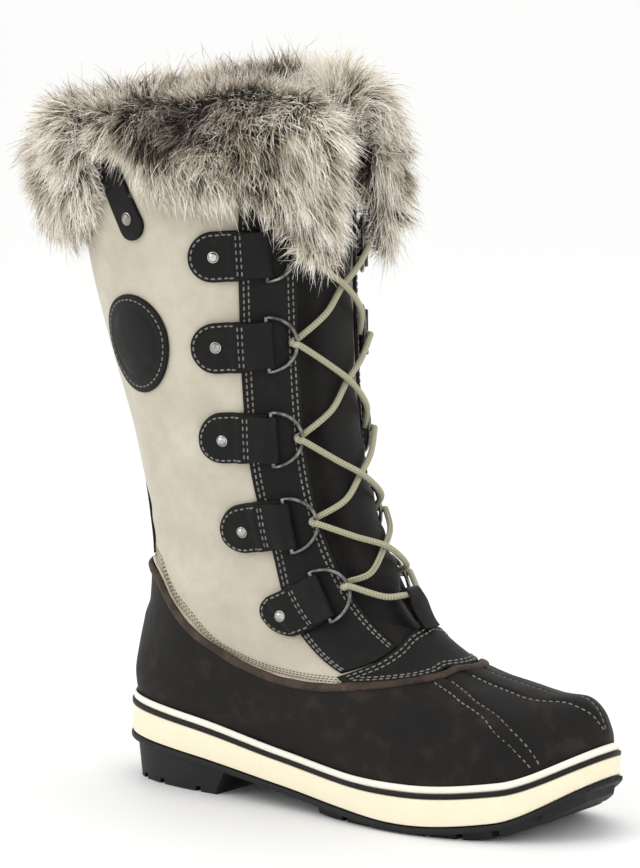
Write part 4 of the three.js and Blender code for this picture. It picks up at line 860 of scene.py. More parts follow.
@dataclass
class Stitching:
    """Thread stitches gathered from every seam: each is a small spindle, joined into one mesh."""

    length: float = 2.5
    gap: float = 0.8
    width: float = 0.95
    height: float = 0.5
    sides: int = 5
    centres: list[Array] = field(default_factory=list)
    aheads: list[Array] = field(default_factory=list)
    outs: list[Array] = field(default_factory=list)

    def run(self, path: Array, normals: Array) -> None:
        """Adds a line of stitches at an even pitch along a path on a surface."""
        steps = np.linalg.norm(np.diff(path, axis=0), axis=1)
        along = np.concatenate([[0], np.cumsum(steps)])
        pitch = self.length + self.gap
        count = int(along[-1] / pitch)
        if count < 1:
            return
        middle = (np.arange(count) + 0.5) * along[-1] / count
        read = lambda where, what: np.stack([np.interp(where, along, what[:, k]) for k in range(3)], -1)
        self.centres.append(read(middle, path))
        self.aheads.append(unit(read(middle + 0.4, path) - read(middle - 0.4, path)))
        self.outs.append(unit(read(middle, normals)))

    def on_face(self, turn: Array, row: Array, level: Array) -> None:
        """Adds a line of stitches by turn and row at a level over the boot's face."""
        self.run(FORM.layer(turn, row, level), FORM.normal(turn, row))

    def on_arc(self, row: Array, arc: Array, level: Array) -> None:
        """Adds a line of stitches by row and signed arc length at a level over the boot's face."""
        self.run(arc_point(row, arc, level), arc_normal(row, arc))

    def shell(self) -> tuple[Array, Array]:
        """All stitches: rings of a spindle between two poles, placed by whole arrays."""
        centre, ahead, out = (np.concatenate(x)[:, None, None] for x in (self.centres, self.aheads,
                                                                         self.outs))
        side = np.cross(ahead, out)
        out = np.cross(side, ahead)
        along = np.array([-0.5, -0.3, 0.3, 0.5])[None, :, None, None] * self.length
        fat = np.array([0.0, 1.0, 1.0, 0.0])[None, :, None, None]
        angle = (2 * math.pi * np.arange(self.sides) / self.sides)[None, None, :, None]
        spread = side * np.cos(angle) * self.width / 2 + out * np.sin(angle) * self.height
        points = centre + ahead * along + fat * spread
        count = points.shape[0]
        one = grid_faces(4, self.sides, False, True)
        faces = one[None] + (np.arange(count) * 4 * self.sides)[:, None, None]
        return points.reshape(-1, 3), faces.reshape(-1, 4)


THREADS = Stitching()
FINE_THREADS = Stitching(length=1.9, gap=0.5, width=0.5, height=0.25)


# How far a crease reaches through the boot, so that it leaves the other side alone
CREASE_THROUGH = 25


@dataclass(frozen=True)
class Crease:
    """One soft fold: a trough across a patch of the face, in millimetres."""

    row: float
    arc: float
    tilt: float
    reach: float
    width: float
    depth: float

    def sink(self, points: Array) -> Array:
        """How far the fold lowers each point: a bell across it times a bell along it."""
        side = Side.OUTER if self.arc >= 0 else Side.INNER
        sheet = Drape(self.row, abs(self.arc), self.tilt, side)
        away = points - arc_point(self.row, self.arc, 0)
        along, across, off = away @ sheet.p_axis, away @ sheet.q_axis, away @ sheet.out
        near = np.exp(-((off / CREASE_THROUGH) ** 2))
        return self.depth * near * np.exp(-((across / self.width) ** 2) - (along / self.reach) ** 2)


SHAFT_CREASES = (
    Crease(9.3, 112, -14, 42, 7, 1.6),
    Crease(8.8, 118, -4, 36, 6, -1.0),
    Crease(8.2, 112, 8, 38, 7, 1.5),
    Crease(9.0, 78, 30, 26, 6, 0.9),
    Crease(10.4, 100, -60, 40, 9, 0.8),
    Crease(11.9, 84, 78, 44, 8, 0.7),
    Crease(9.2, -108, 12, 42, 7, 1.5),
    Crease(8.4, -114, -6, 38, 6, 1.3),
    Crease(10.6, -96, 60, 40, 9, 0.8),
    Crease(12.0, -110, -80, 40, 9, 0.7),
)
SHELL_CREASES = (
    Crease(3.1, 66, 70, 20, 7, 0.9),
    Crease(3.3, 84, 58, 24, 8, -0.6),
    Crease(2.6, 130, 20, 30, 8, 0.8),
    Crease(3.2, -66, 70, 20, 7, 0.9),
    Crease(2.7, -126, 20, 30, 8, 0.8),
)


@dataclass(frozen=True)
class Upper:
    """The suede shaft, its lining, the back stay, the round patch and the pull strap."""

    throat_foot: float = 6.75
    backstay_width: float = 26
    trim_wall: float = 1.4
    patch_row: float = 11.02
    patch_arc: float = 119.5
    patch_radius: float = 25
    patch_border: float = 3
    patch_padding: float = 0.7
    strap_row: float = 12.95
    strap_arc: float = 137
    strap_tilt: float = -114
    strap_length: float = 50
    strap_width: float = 16
    strap_wall: float = 2
    piping_radius: float = 0.85
    edge_rows: tuple[float, ...] = (1.6, 3.6, 5.6)

    def build(self, bench: Bench) -> None:
        """Builds and dresses all of them."""
        self.wall(bench)
        self.back_stay(bench)
        self.patch(bench)
        self.strap(bench)
        self.edge_lines(bench)

    def wall(self, bench: Bench) -> None:
        """The shaft's wall: the form's face with creases, split down the throat, felt on its inside."""
        rows = np.linspace(0, COLLAR, 150)[:, None]
        start = FORM.throat_half * ease((rows - self.throat_foot + 0.55) / 0.55) + 0.4
        first = ARCS.turn(rows, start)
        turn = mix(first, 1 - first, edged(170, 300, 1.5)[None, :])
        outer = FORM.face(turn, rows)
        normal = FORM.normal(turn, rows)
        sink = sum(crease.sink(outer) for crease in SHAFT_CREASES)
        free = ease((rows - FORM.above_binding(turn)) / 0.5)
        wave = 0.25 * np.sin(outer[..., 2] / 17 + 3 * np.sin(turn * 9)) * free
        outer = outer + normal * (wave - sink * free)[..., None]
        inner = FORM.face(turn, rows) - normal * FORM.upper_wall
        points, faces = slab(outer, inner)
        quads = (outer.shape[0] - 1) * (outer.shape[1] - 1)
        arc = ARCS.arc(np.where(turn > 0.5, turn - 1, turn), np.broadcast_to(rows, turn.shape))
        gusset = (np.abs(arc) < FORM.throat_half + 3) & (rows < self.throat_foot + 0.4) & (rows > 4)
        index = np.zeros(len(faces), dtype=int)
        index[:quads] = np.where(gusset[:-1, :-1].ravel(), 2, 0)
        index[quads:2 * quads] = 1
        bench.piece("suede_shaft", [(points, faces)], [SUEDE, FLEECE, TONGUE], ["upper"],
                    index=index,
                    weld=False)

    def back_stay(self, bench: Bench) -> None:
        """The dark strip down the back seam, stitched along both edges."""
        share = edged(10, self.backstay_width)
        low = float(FORM.above_binding(np.array(0.5)))
        row = np.linspace(low, COLLAR - 0.05, 90)[:, None]
        arc = ARCS.half_girth(row) + (share[None, :] - 0.5) * self.backstay_width
        turn = ARCS.turn(row, np.minimum(arc, 2 * ARCS.half_girth(row) - arc))
        turn = np.where(arc > ARCS.half_girth(row), 1 - turn, turn)
        border = np.minimum(share, 1 - share) * self.backstay_width
        top = FORM.clearance + self.trim_wall - rounding(border, 0.9)
        outer = FORM.layer(turn, row, top[None, :])
        inner = FORM.layer(turn, row, FORM.clearance)
        bench.piece("back_seam_strip", [slab(outer, inner)], [TRIM], ["back_stay"])
        for column in (4, len(share) - 5):
            THREADS.run(outer[3:-3, column], FORM.normal(turn[3:-3, column], row[3:-3, 0]))

    def disc(self, sheet: Drape, radius: float, top: Callable[[Array], Array], low: float) -> tuple[Array,
                                                                                                    Array]:
        """A round plate on a drape: rings out from the middle, its top a function of the distance."""
        share = np.concatenate([[0], edged(16, radius)[3:]])[:, None]
        angle = np.linspace(0, 2 * math.pi, 96, endpoint=False)[None, :]
        p, q = radius * share * np.cos(angle), radius * share * np.sin(angle)
        return slab(sheet.at(p, q, top(radius * share)), sheet.at(p, q, low), wrap_cols=True)

    def patch(self, bench: Bench) -> None:
        """The bare round patch: a stitched border, a pressed ring and a slightly padded middle."""
        sheet = Drape(self.patch_row, self.patch_arc, 0, Side.OUTER)
        seam = self.patch_radius - self.patch_border

        def top(r: Array) -> Array:
            """Height of the patch's face at a distance from its middle."""
            dome = self.patch_padding * (1 - (r / self.patch_radius) ** 2)
            groove = 0.45 * np.exp(-(((r - seam) / 0.9) ** 2)) + 0.5 * np.exp(-(((r - seam + 4) / 1.0) ** 2))
            return FORM.clearance + self.trim_wall + dome - groove - rounding(self.patch_radius - r, 1)

        bench.piece("round_side_patch", [self.disc(sheet, self.patch_radius, top, FORM.clearance)], [TRIM],
                    ["side_patch"])
        angle = np.linspace(0, 2 * math.pi, 200)
        p, q = seam * np.cos(angle), seam * np.sin(angle)
        THREADS.run(sheet.at(p, q, top(seam) + 0.1), sheet.normal(p, q))

    def strap(self, bench: Bench) -> None:
        """The pull strap over the fur, with its round end and rivet."""
        sheet = Drape(self.strap_row, self.strap_arc, self.strap_tilt, Side.OUTER)
        plate = TabPlate(self.strap_length, self.strap_width / 2, self.strap_width / 2, 0)
        low = FORM.clearance + 0.15
        body = plate.shell(sheet, lambda p: low, self.strap_wall)
        bench.piece("pull_strap_leather", [body], [TRIM], ["pull_strap"])
        spot = self.strap_length - 0.75 * self.strap_width
        dome = rivet(sheet.at(spot, 0, low + self.strap_wall), sheet.normal(spot, 0), 3.3, 1.8)
        bench.piece("pull_strap_stud", [dome], [SILVER], ["pull_strap_rivet"])

    def edge_lines(self, bench: Bench) -> None:
        """The pale piping and the three fine stitch lines along the suede's lower edge."""
        for sign in (1, -1):
            turn = sign * np.linspace(0.085, 0.46, 260)
            row = FORM.above_binding(turn, -0.9)
            points, faces, _ = tube(FORM.layer(turn, row, 0.75), self.piping_radius, 8)
            side = "outer" if sign > 0 else "inner"
            bench.piece(f"suede_piping_{side}", [(points, faces)], [PIPING])
            for height in self.edge_rows:
                short = sign * np.linspace(0.14, 0.455, 260)
                FINE_THREADS.on_face(short, FORM.above_binding(short, height), 0.12)


@dataclass(frozen=True)
class TabPlate:
    """A strip of leather with one straight and one round end."""

    length: float
    start_half: float
    end_half: float
    start: float

    def outline(self, count: int = 26) -> tuple[Array, Array]:
        """Places along the strip and its half width there: straight, then a half circle."""
        straight = np.linspace(0, 1, count)
        turned = np.sin(np.linspace(0, math.pi / 2, 12))[1:]
        p = np.concatenate([mix(self.start, self.length - self.end_half, straight),
                            self.length - self.end_half + self.end_half * turned])
        half = np.concatenate([mix(self.start_half, self.end_half, ease(straight * 2)),
                               self.end_half * np.sqrt(1 - turned**2)])
        return p, half

    def shell(self, sheet: Drape, low: Callable[[Array], Array], wall: float) -> tuple[Array, Array]:
        """The strip as a closed wall with rounded edges, low giving the height of its underside."""
        p, half = self.outline()
        share = edged(9, 2 * self.end_half)
        q = (2 * share[None, :] - 1) * half[:, None]
        p = np.broadcast_to(p[:, None], q.shape)
        border = np.minimum(half[:, None] - np.abs(q), self.length - p)
        under = low(p)
        return slab(sheet.at(p, q, under + wall - rounding(border, 0.9)), sheet.at(p, q, under))

    def border(self, inset: float) -> tuple[Array, Array]:
        """The line inset from the strip's edge, from one side round its end to the other."""
        p, half = self.outline(60)
        end = np.linspace(-math.pi / 2, math.pi / 2, 60)
        radius = self.end_half - inset
        straight = p[p <= self.length - self.end_half]
        side = half[:len(straight)] - inset
        line_p = np.concatenate([straight, self.length - self.end_half + radius * np.cos(end),
                                 straight[::-1]])
        return line_p, np.concatenate([-side, radius * np.sin(end), side[::-1]])


def rivet(base: Array, out: Array, radius: float, height: float) -> tuple[Array, Array]:
    """A domed rivet head: a profile turned round its axis, flange first and then the dome."""
    r = np.array([0, 1, 1, 0.93, 0.86, 0.8, 0.62, 0.34, 0]) * radius
    h = np.array([0, 0, 0.16, 0.26, 0.26, 0.46, 0.76, 0.95, 1]) * height
    side = unit(np.cross(out, [0.2, 0.9, 0.3]))
    over = np.cross(out, side)
    angle = np.linspace(0, 2 * math.pi, 28, endpoint=False)
    ring = side * np.cos(angle)[:, None] + over * np.sin(angle)[:, None]
    points = base + out * h[:, None, None] + ring[None] * r[:, None, None]
    return points.reshape(-1, 3), grid_faces(len(r), len(angle), False, True)


@dataclass(frozen=True)
class LowerShell:
    """The waxed shell round the foot with its toe seams and rolled binding, and the plug over it."""

    trough_depth: float = 0.7
    trough_width: float = 1.1
    welt_height: float = 0.9
    plug_across: float = 130
    top_insets: tuple[float, ...] = (2.4, 4.8)
    low_insets: tuple[float, ...] = (1.8, 4.0)
    centre_seam: Line = Line((1.5, 2.2, 2.8, 3.4, 3.9, 4.4, 4.9), (0.4, 4, 9, 12, 14.6, 13.3, 11))
    side_seam: Line = Line((1.25, 2.1, 2.92, 3.78, 4.58), (38, 41, 44, 39, 28.7))
    side_seam_twin: Line = Line((1.5, 2.19, 2.74, 3.8, 4.28), (44, 48, 52, 46, 41))

    def seam_lines(self) -> list[tuple[Array, Array]]:
        """Rows and signed arcs of every stitched toe seam, in pairs."""
        row = np.linspace(1.5, 4.95, 160)
        low = np.linspace(1.2, 4.75, 160)
        lines = [(row, np.zeros_like(row) - 1.0), (row, self.centre_seam(row))]
        for sign in (1, -1):
            lines += [(low, sign * self.side_seam(low)), (low, sign * self.side_seam_twin(low))]
        return lines

    def relief(self, arc: Array, row: Array) -> Array:
        """Height added by the seams: a trough under each stitch line and a low welt between a pair."""
        inside = ease((row - 1.2) / 0.3)
        total = np.zeros_like(arc)
        seams = [np.interp(row, rows, arcs) for rows, arcs in self.seam_lines()]
        for seam in seams:
            total = total - self.trough_depth * np.exp(-(((arc - seam) / self.trough_width) ** 2)) * inside
        for a, b in zip(seams[::2], seams[1::2]):
            middle, half = (a + b) / 2, np.abs(b - a) / 2 + 0.1
            welt = np.clip(1 - ((arc - middle) / half) ** 2, 0, 1)
            total = total + self.welt_height * np.sqrt(welt) * inside
        return total

    def build(self, bench: Bench) -> None:
        """Builds the shell, the binding and the plug."""
        share = np.linspace(0, 1, 64)[:, None]
        turn = np.linspace(-0.5, 0.5, 330, endpoint=False)[None, :]
        row = mix(0.0, FORM.shell_top(turn), share)
        arc = ARCS.arc(turn, row)
        normal = FORM.normal(turn, row)
        face = FORM.face(turn, row)
        creases = sum(crease.sink(face) for crease in SHELL_CREASES)
        height = FORM.shell_to + self.relief(arc, row) - creases * ease((row - 1.1) / 0.5)
        height = np.maximum(height, FORM.clearance + 0.7)
        outer = face + normal * height[..., None]
        inner = face + normal * FORM.clearance
        bench.piece("waxed_lower_shell", [slab(outer, inner, wrap_cols=True)], [SHELL],
                    ["lower_shell"])
        for rows, arcs in self.seam_lines():
            rows = np.minimum(rows, FORM.shell_top(ARCS.turn(rows, arcs)) - 0.05)
            THREADS.on_arc(rows, arcs, FORM.shell_to + self.relief(arcs, rows) + 0.15)
        self.binding(bench)
        self.plug(bench)

    def binding(self, bench: Bench) -> None:
        """The rolled binding: an oval tube that follows the shell's top edge, a little uneven."""
        turn = np.linspace(0, 1, 420, endpoint=False)
        row = FORM.shell_top(turn)
        out = FORM.normal(turn, row)
        edge = lambda t: FORM.face(t, FORM.shell_top(t))
        along = edge(turn + 2 * TURN_STEP) - edge(turn - 2 * TURN_STEP)
        up = unit(np.cross(along, out))
        climb = FORM.face(turn, row + 0.05) - FORM.face(turn, row)
        up = up * np.sign(np.einsum("ij,ij->i", up, climb))[:, None]
        lift = FORM.binding_radius + FORM.loose_fit
        squash = 0.8 * FORM.binding_radius
        centre = FORM.face(turn, row) + out * (squash + 2 * FORM.loose_fit) + up * (lift - 0.3)
        angle = np.linspace(0, 2 * math.pi, 14, endpoint=False)[None, :, None]
        swell = 1 + 0.05 * np.sin(turn * 2 * math.pi * 37)[:, None, None]
        ring = out[:, None] * np.cos(angle) * squash + up[:,
                                                          None] * np.sin(angle) * (FORM.binding_radius + 0.35)
        points = centre[:, None] + ring * swell
        bench.piece("rolled_binding", [(points.reshape(-1, 3), grid_faces(420, 14, True, True))], [BINDING],
                    ["shell_binding"])

    def plug(self, bench: Bench) -> None:
        """The dark plug over the throat's foot, stitched twice along its top and its bottom edge."""
        along = edged(20, 40)[:, None]
        across = edged(90, self.plug_across)[None, :]
        turn = mix(-1.0, 1.0, across) * FORM.plug_turn
        low, high = FORM.above_binding(turn), FORM.plug_top(turn)
        row = mix(low, high, along)
        up_mm = (high - low) / FORM.rows_up(turn, mix(low, high, 0.5), 1)
        sideways = np.minimum(across, 1 - across) * self.plug_across
        border = np.minimum(np.minimum(along, 1 - along) * up_mm, sideways)
        top = FORM.clearance + FORM.plug_wall - rounding(border, 1.0)
        outer = FORM.layer(turn, row, top)
        inner = FORM.layer(turn, row, FORM.clearance)
        bench.piece("throat_plug", [slab(outer, inner)], [TRIM], ["vamp_plug"])
        turn = np.linspace(-0.96, 0.96, 300) * FORM.plug_turn
        level = FORM.clearance + FORM.plug_wall + 0.1
        top_row = FORM.plug_top(turn)
        for inset in self.top_insets:
            THREADS.on_face(turn, top_row - FORM.rows_up(turn, top_row, inset), level)
        for inset in self.low_insets:
            row = FORM.above_binding(turn, inset)
            keep = row < top_row - FORM.rows_up(turn, row, 6)
            if keep.sum() > 3:
                THREADS.on_face(turn[keep], row[keep], level)


@dataclass(frozen=True)
class TabSpot:
    """Where one pair of tabs sits: its row at the fold and the tilt of its length."""

    row: float
    tilt: float


@dataclass(frozen=True)
class TongueFold:
    """One soft fold across the tongue: its row at the middle, its climb in rows per 100 mm, its depth."""

    row: float
    climb: float
    depth: float


TONGUE_FOLDS = (TongueFold(7.65, 1.2, 0.8), TongueFold(8.5, -1.0, 1.1), TongueFold(9.0, 0.8, 0.8),
                TongueFold(10.0, -0.6, 0.7), TongueFold(11.0, 0.7, 0.6), TongueFold(12.0, -0.5, 0.7))


def folded_strip(sheet: Drape, centre: Array, base: float, path: Array, q: Array, wall: float, soft: Array,
                 straight: tuple[float, float]) -> tuple[Array, Array]:
    """A strip of leather bent along a path: straight round its fold, on the boot's face beyond.

    Args:
        sheet: the patch of the face that it is sewn to.
        centre: the path's origin.
        base: height of that origin over the face.
        path: places along the patch and heights over the origin, of shape (n, 2).
        q: places across the strip, of shape (1, m).
        wall: its thickness.
        soft: how far its outer face is rounded down at each place across.
        straight: where it starts to follow the face, and over what length.
    Returns:
        Points and faces of the closed strip.
    """
    ahead = unit(np.gradient(path, axis=0))
    across = np.stack([ahead[:, 1], -ahead[:, 0]], -1)

    def face(shift: Array) -> Array:
        """One face of the strip, at a distance from its middle."""
        along = path[:, None, 0] + across[:, None, 0] * shift
        height = path[:, None, 1] + across[:, None, 1] * shift
        beside = np.broadcast_to(q, along.shape)
        flat = centre + (sheet.p_axis * along[..., None] + sheet.q_axis * beside[..., None]
                         + sheet.out * height[..., None])
        laid = sheet.at(along, beside, height + base)
        return mix(flat, laid, ease((along - straight[0]) / straight[1])[..., None])

    return slab(face(wall / 2 - soft), face(-wall / 2 + 0 * soft))


@dataclass(frozen=True)
class Lacing:
    """Facings, tongue, tabs with their D-rings and rivets, the loop at the foot and the lace."""

    spots: tuple[TabSpot, ...] = (
        TabSpot(11.8, 2), TabSpot(10.92, 0), TabSpot(10.07, 0), TabSpot(8.78, -7), TabSpot(7.08, -28))
    tab_width: float = 26
    tab_length: float = 39
    tab_wall: float = 2.2
    fold_setback: float = 16.2
    fold_width: float = 23.6
    fold_wall: float = 1.3
    ring_opening: float = 25
    ring_depth: float = 15.4
    ring_wire: float = 2.6
    shown_wire: float = 2.1
    rivet_setback: float = 25.5
    lace_diameter: float = 3.2
    loop_row: float = 7.0
    loop_width: float = 10
    loop_length: float = 21
    tongue_wall: float = 3.4
    tongue_crown: float = 3.2
    crossing: float = 0.54
    ring_tilt: float = 8
    tongue_tuck: float = 9
    tongue_root: float = 5.7
    lace_dent: float = 2.2
    seam_inset: float = 2.5
    seam_gap: float = 2.4
    seam_groove: float = 0.22
    fold_seam: float = 12.7
    fold_stitches: tuple[float, ...] = (11.6, 13.8)
    hook_angles: tuple[float, ...] = (-25, 20, 65, 115, 160, 205)
    end_angles: tuple[float, ...] = (-30, 0, 50, 100)
    helix: float = 0.55
    beside_middle: float = 0.5
    coming: float = 0.25
    leaving: float = 0.28

    @property
    def tab_from(self) -> float:
        """Height of a tab's underside over a facing."""
        return FORM.clearance + FORM.facing_wall + FORM.loose_fit

    @property
    def ring_hole(self) -> float:
        """Radius of the hole in a tab's fold."""
        return self.ring_wire / 2 + FORM.loose_fit

    @property
    def fold_height(self) -> float:
        """Height of the middle of a tab's fold over the face."""
        return self.tab_from + self.ring_hole + self.fold_wall

    def build(self, bench: Bench) -> None:
        """Builds everything at the throat."""
        for side in Side:
            self.facing(bench, side)
            for number, spot in enumerate(self.spots, 1):
                self.tab(bench, spot, side, number)
        self.tongue(bench)
        self.loop(bench)
        self.lace(bench)

    def facing(self, bench: Bench, side: Side) -> None:
        """A dark strip along the throat, wider at its foot, with two stitch rows on each edge."""
        share = edged(22, 30)[None, :]
        along = edged(120, 260)[:, None]
        foot_arc = FORM.throat_half + share * (FORM.facing_width + FORM.facing_flare * 0.9)
        foot = np.full(foot_arc.shape, 6.0)
        for _ in range(4):
            foot = FORM.plug_top(ARCS.turn(foot, foot_arc))
        foot = foot + FORM.rows_up(ARCS.turn(foot, foot_arc), foot, 2 * FORM.clearance)
        row = mix(foot, COLLAR - 0.05, along)
        width = FORM.facing_back(row) - FORM.throat_half
        arc = FORM.throat_half + share * width
        border = np.minimum(np.minimum(share, 1 - share) * width, np.minimum(along, 1 - along) * 240)
        insets = (self.seam_inset, self.seam_inset + self.seam_gap)
        seam = sum(np.exp(-(((np.minimum(share, 1 - share) * width - inset) / 0.9) ** 2))
                   for inset in insets)
        top = FORM.clearance + FORM.facing_wall - rounding(border, 0.9) - self.seam_groove * seam
        outer = arc_point(row, side.value * arc, top)
        inner = arc_point(row, side.value * arc, FORM.clearance)
        name = side.name.lower()
        bench.piece(f"throat_facing_{name}", [slab(outer, inner)], [TRIM], [f"facing_{name}"])
        for inset in insets:
            for back in (False, True):
                line = np.linspace(4.6 if back else 5.6, 12.7, 300)
                arcs = FORM.facing_back(line) - inset if back else np.full(line.shape,
                                                                           FORM.throat_half + inset)
                keep = line > np.interp(arcs, foot_arc[0], foot[0]) + 0.05
                THREADS.on_arc(line[keep], side.value * arcs[keep], FORM.clearance + FORM.facing_wall - 0.05)

    def sheet(self, spot: TabSpot, side: Side) -> Drape:
        """The patch of the face that a tab lies on."""
        return Drape(spot.row, FORM.throat_half + self.fold_setback, spot.tilt, side)

    def fold_centre(self, sheet: Drape) -> Array:
        """Middle of a tab's fold, lifted where the face is hollow so that its ends clear it."""
        middle = sheet.at(0, 0, 0)
        ends = sheet.at(np.zeros(2), np.array([-0.5, 0.5]) * self.fold_width, np.zeros(2))
        rise = max(0.0, float(((ends - middle) @ sheet.out).max()))
        return middle + sheet.out * (self.fold_height + rise)

    def underside(self, sheet: Drape) -> Callable[[Array], Array]:
        """Height of a tab's underside: over the facing, then down to the shaft behind it."""
        def low(p: Array) -> Array:
            """The highest need of the strip's middle and both its edges."""
            levels = []
            for q in (-1, 0, 1):
                row, arc = sheet.place(p, q * self.tab_width / 2)
                down = ease((np.abs(arc) - FORM.facing_back(row) - 2.4) / 3.5)
                levels.append(mix(self.tab_from, FORM.loose_fit, down))
            return np.max(levels, axis=0)
        return low

    def tab(self, bench: Bench, spot: TabSpot, side: Side, number: int) -> None:
        """A tab: the round-ended plate, the fold round the ring's bar, stitches, ring and rivet."""
        sheet = self.sheet(spot, side)
        low = self.underside(sheet)
        plate = TabPlate(self.tab_length, self.fold_width / 2, self.tab_width / 2,
                         self.ring_hole + FORM.clearance)
        body = plate.shell(sheet, low, self.tab_wall)
        fold = self.fold(sheet, low)
        name = f"{side.name.lower()}_{number}"
        bench.piece(f"leather_tab_{name}", [body, fold], [TRIM], [f"tab_{name}"])
        line_p, line_q = plate.border(1.9)
        keep = line_p > 15
        line_p, line_q = line_p[keep], line_q[keep]
        THREADS.run(sheet.at(line_p, line_q, low(line_p) + self.tab_wall + 0.1), sheet.normal(line_p, line_q))
        for p in self.fold_stitches:
            q = np.linspace(-1, 1, 24) * (self.fold_width / 2 - 0.8)
            here = np.full(q.shape, p)
            top = low(here) + self.tab_wall + self.fold_wall * (p < self.fold_seam)
            THREADS.run(sheet.at(here, q, top), sheet.normal(here, q))
        bench.piece(f"d_ring_{name}", [self.ring(sheet)], [NICKEL], [f"ring_{name}"])
        spot_p = self.rivet_setback
        base = sheet.at(spot_p, 0, float(low(np.array([spot_p]))[0]) + self.tab_wall)
        dome = rivet(base, sheet.normal(spot_p, 0), 2.9, 1.7)
        bench.piece(f"tab_rivet_{name}", [dome], [SILVER], [f"rivet_{name}"])

    def fold(self, sheet: Drape, low: Callable[[Array], Array]) -> tuple[Array, Array]:
        """The folded end: a strip of leather led round the ring's bar and back to the seam."""
        centre = self.fold_centre(sheet)
        half = self.ring_hole + self.fold_wall / 2
        wrap = np.radians(np.linspace(70, 270, 16))
        over = float(low(np.array([self.fold_seam]))[0]) + self.tab_wall
        over = over + self.fold_wall / 2 - self.fold_height
        p = np.concatenate([np.linspace(self.fold_seam, 1.6, 8), half * np.cos(wrap), [2.6]])
        rise = mix(over, half, ease(np.linspace(0, 1, 8)))
        h = np.concatenate([rise, half * np.sin(wrap), [-half]])
        q = (2 * edged(7, self.fold_width)[None, :] - 1) * self.fold_width / 2
        soft = rounding(self.fold_width / 2 - np.abs(q), 0.6)
        return folded_strip(sheet, centre, self.fold_height, np.stack([p, h], -1), q, self.fold_wall, soft,
                            (2, 8))

    def ring(self, sheet: Drape) -> tuple[Array, Array]:
        """A D-ring: a straight bar and a half ellipse, bent from round wire."""
        centre = self.fold_centre(sheet)
        half = self.ring_opening / 2 + self.ring_wire / 2
        angle = np.linspace(-math.pi / 2, math.pi / 2, 49)
        p = np.concatenate([-self.ring_depth * np.cos(angle), np.zeros(12)])
        q = np.concatenate([half * np.sin(angle), np.linspace(half, -half, 14)[1:-1]])
        path = centre + self.ring_axes(sheet)[0] * p[:, None] + sheet.q_axis * q[:, None]
        points, faces, _ = tube(path, self.shown_wire / 2, 12, closed=True)
        return points, faces

    def tongue(self, bench: Bench) -> None:
        """The padded tongue: tucked behind the facings, crowned between, with soft folds and a seam."""
        row = np.linspace(self.tongue_root, COLLAR, 150)[:, None]
        arc = mix(-1.0, 1.0, np.linspace(0, 1, 60)[None, :]) * (FORM.throat_half + self.tongue_tuck)
        tuck = -FORM.upper_wall - FORM.loose_fit - 0.2
        middle = ease((1 - np.abs(arc) / (FORM.throat_half - 2.5)) / 0.5)
        risen = ease((row - 6.9) / 0.8)
        top = mix(tuck, self.tongue_crown, middle * risen)
        folds = np.zeros_like(top)
        for low, high in zip(self.spots[1:], self.spots):
            over = mix(low.row, high.row, self.crossing)
            folds = folds + self.lace_dent * np.exp(-(((row - over) / 0.2) ** 2))
        for fold in TONGUE_FOLDS:
            line = fold.row + fold.climb * arc / 100
            folds = folds + fold.depth * np.exp(-(((row - line) / 0.13) ** 2))
        seam = 0.8 * np.exp(-(((row - 7.35 - 0.012 * arc) / 0.035) ** 2))
        top = top - (folds + seam) * middle * risen
        inner = np.minimum(top, mix(tuck, self.tongue_crown, middle * risen)) - self.tongue_wall
        made = bench.piece("padded_tongue", [slab(arc_point(row, arc, top), arc_point(row, arc, inner))],
                           [TONGUE],
                           ["tongue"])

    def loop_sheet(self) -> Drape:
        """The patch of the face that the foot loop lies on."""
        return Drape(self.loop_row, 0.001, -90, Side.OUTER)

    def loop_centre(self, sheet: Drape) -> Array:
        """Middle of the foot loop's fold."""
        hole = self.lace_diameter / 2 + FORM.loose_fit
        height = FORM.clearance + FORM.plug_wall + FORM.clearance + hole + self.fold_wall
        return sheet.at(0, 0, 0) + sheet.out * height

    def loop(self, bench: Bench) -> None:
        """The leather loop at the throat's foot: one strap folded round the lace and sewn down."""
        sheet = self.loop_sheet()
        centre = self.loop_centre(sheet)
        base = FORM.clearance + FORM.plug_wall + 2 * FORM.clearance
        radius = self.lace_diameter / 2 + FORM.loose_fit + self.fold_wall / 2
        rise = float((centre - sheet.at(0, 0, 0)) @ sheet.out)
        wrap = np.radians(np.linspace(75, 270, 16))
        p = np.concatenate([np.linspace(self.loop_length, 2, 14), radius * np.cos(wrap),
                            [3.2, self.loop_length * 0.7]])
        h = np.concatenate([mix(base + 1.6, rise + radius, ease(np.linspace(0, 1, 14))),
                            rise + radius * np.sin(wrap),
                            [base + 0.6, base + 0.4]])
        q = (2 * edged(6, self.loop_width)[None, :] - 1) * self.loop_width / 2
        strip = folded_strip(sheet, sheet.at(0, 0, 0), 0.0, np.stack([p, h], -1), q, self.fold_wall, 0 * q,
                             (1, 7))
        bench.piece("foot_lace_loop", [strip], [TRIM], ["lace_loop"])

    def ring_axes(self, sheet: Drape) -> tuple[Array, Array]:
        """A ring's own directions, from its bow to its bar and out of its plane: it lies down a little."""
        tilt = math.radians(self.ring_tilt)
        along = sheet.p_axis * math.cos(tilt) + sheet.out * math.sin(tilt)
        return along, sheet.out * math.cos(tilt) - sheet.p_axis * math.sin(tilt)

    def up_sign(self, sheet: Drape) -> float:
        """Whether a sheet's second axis points up the throat, 1, or down it, -1."""
        return float(np.sign(sheet.q_axis[2]))

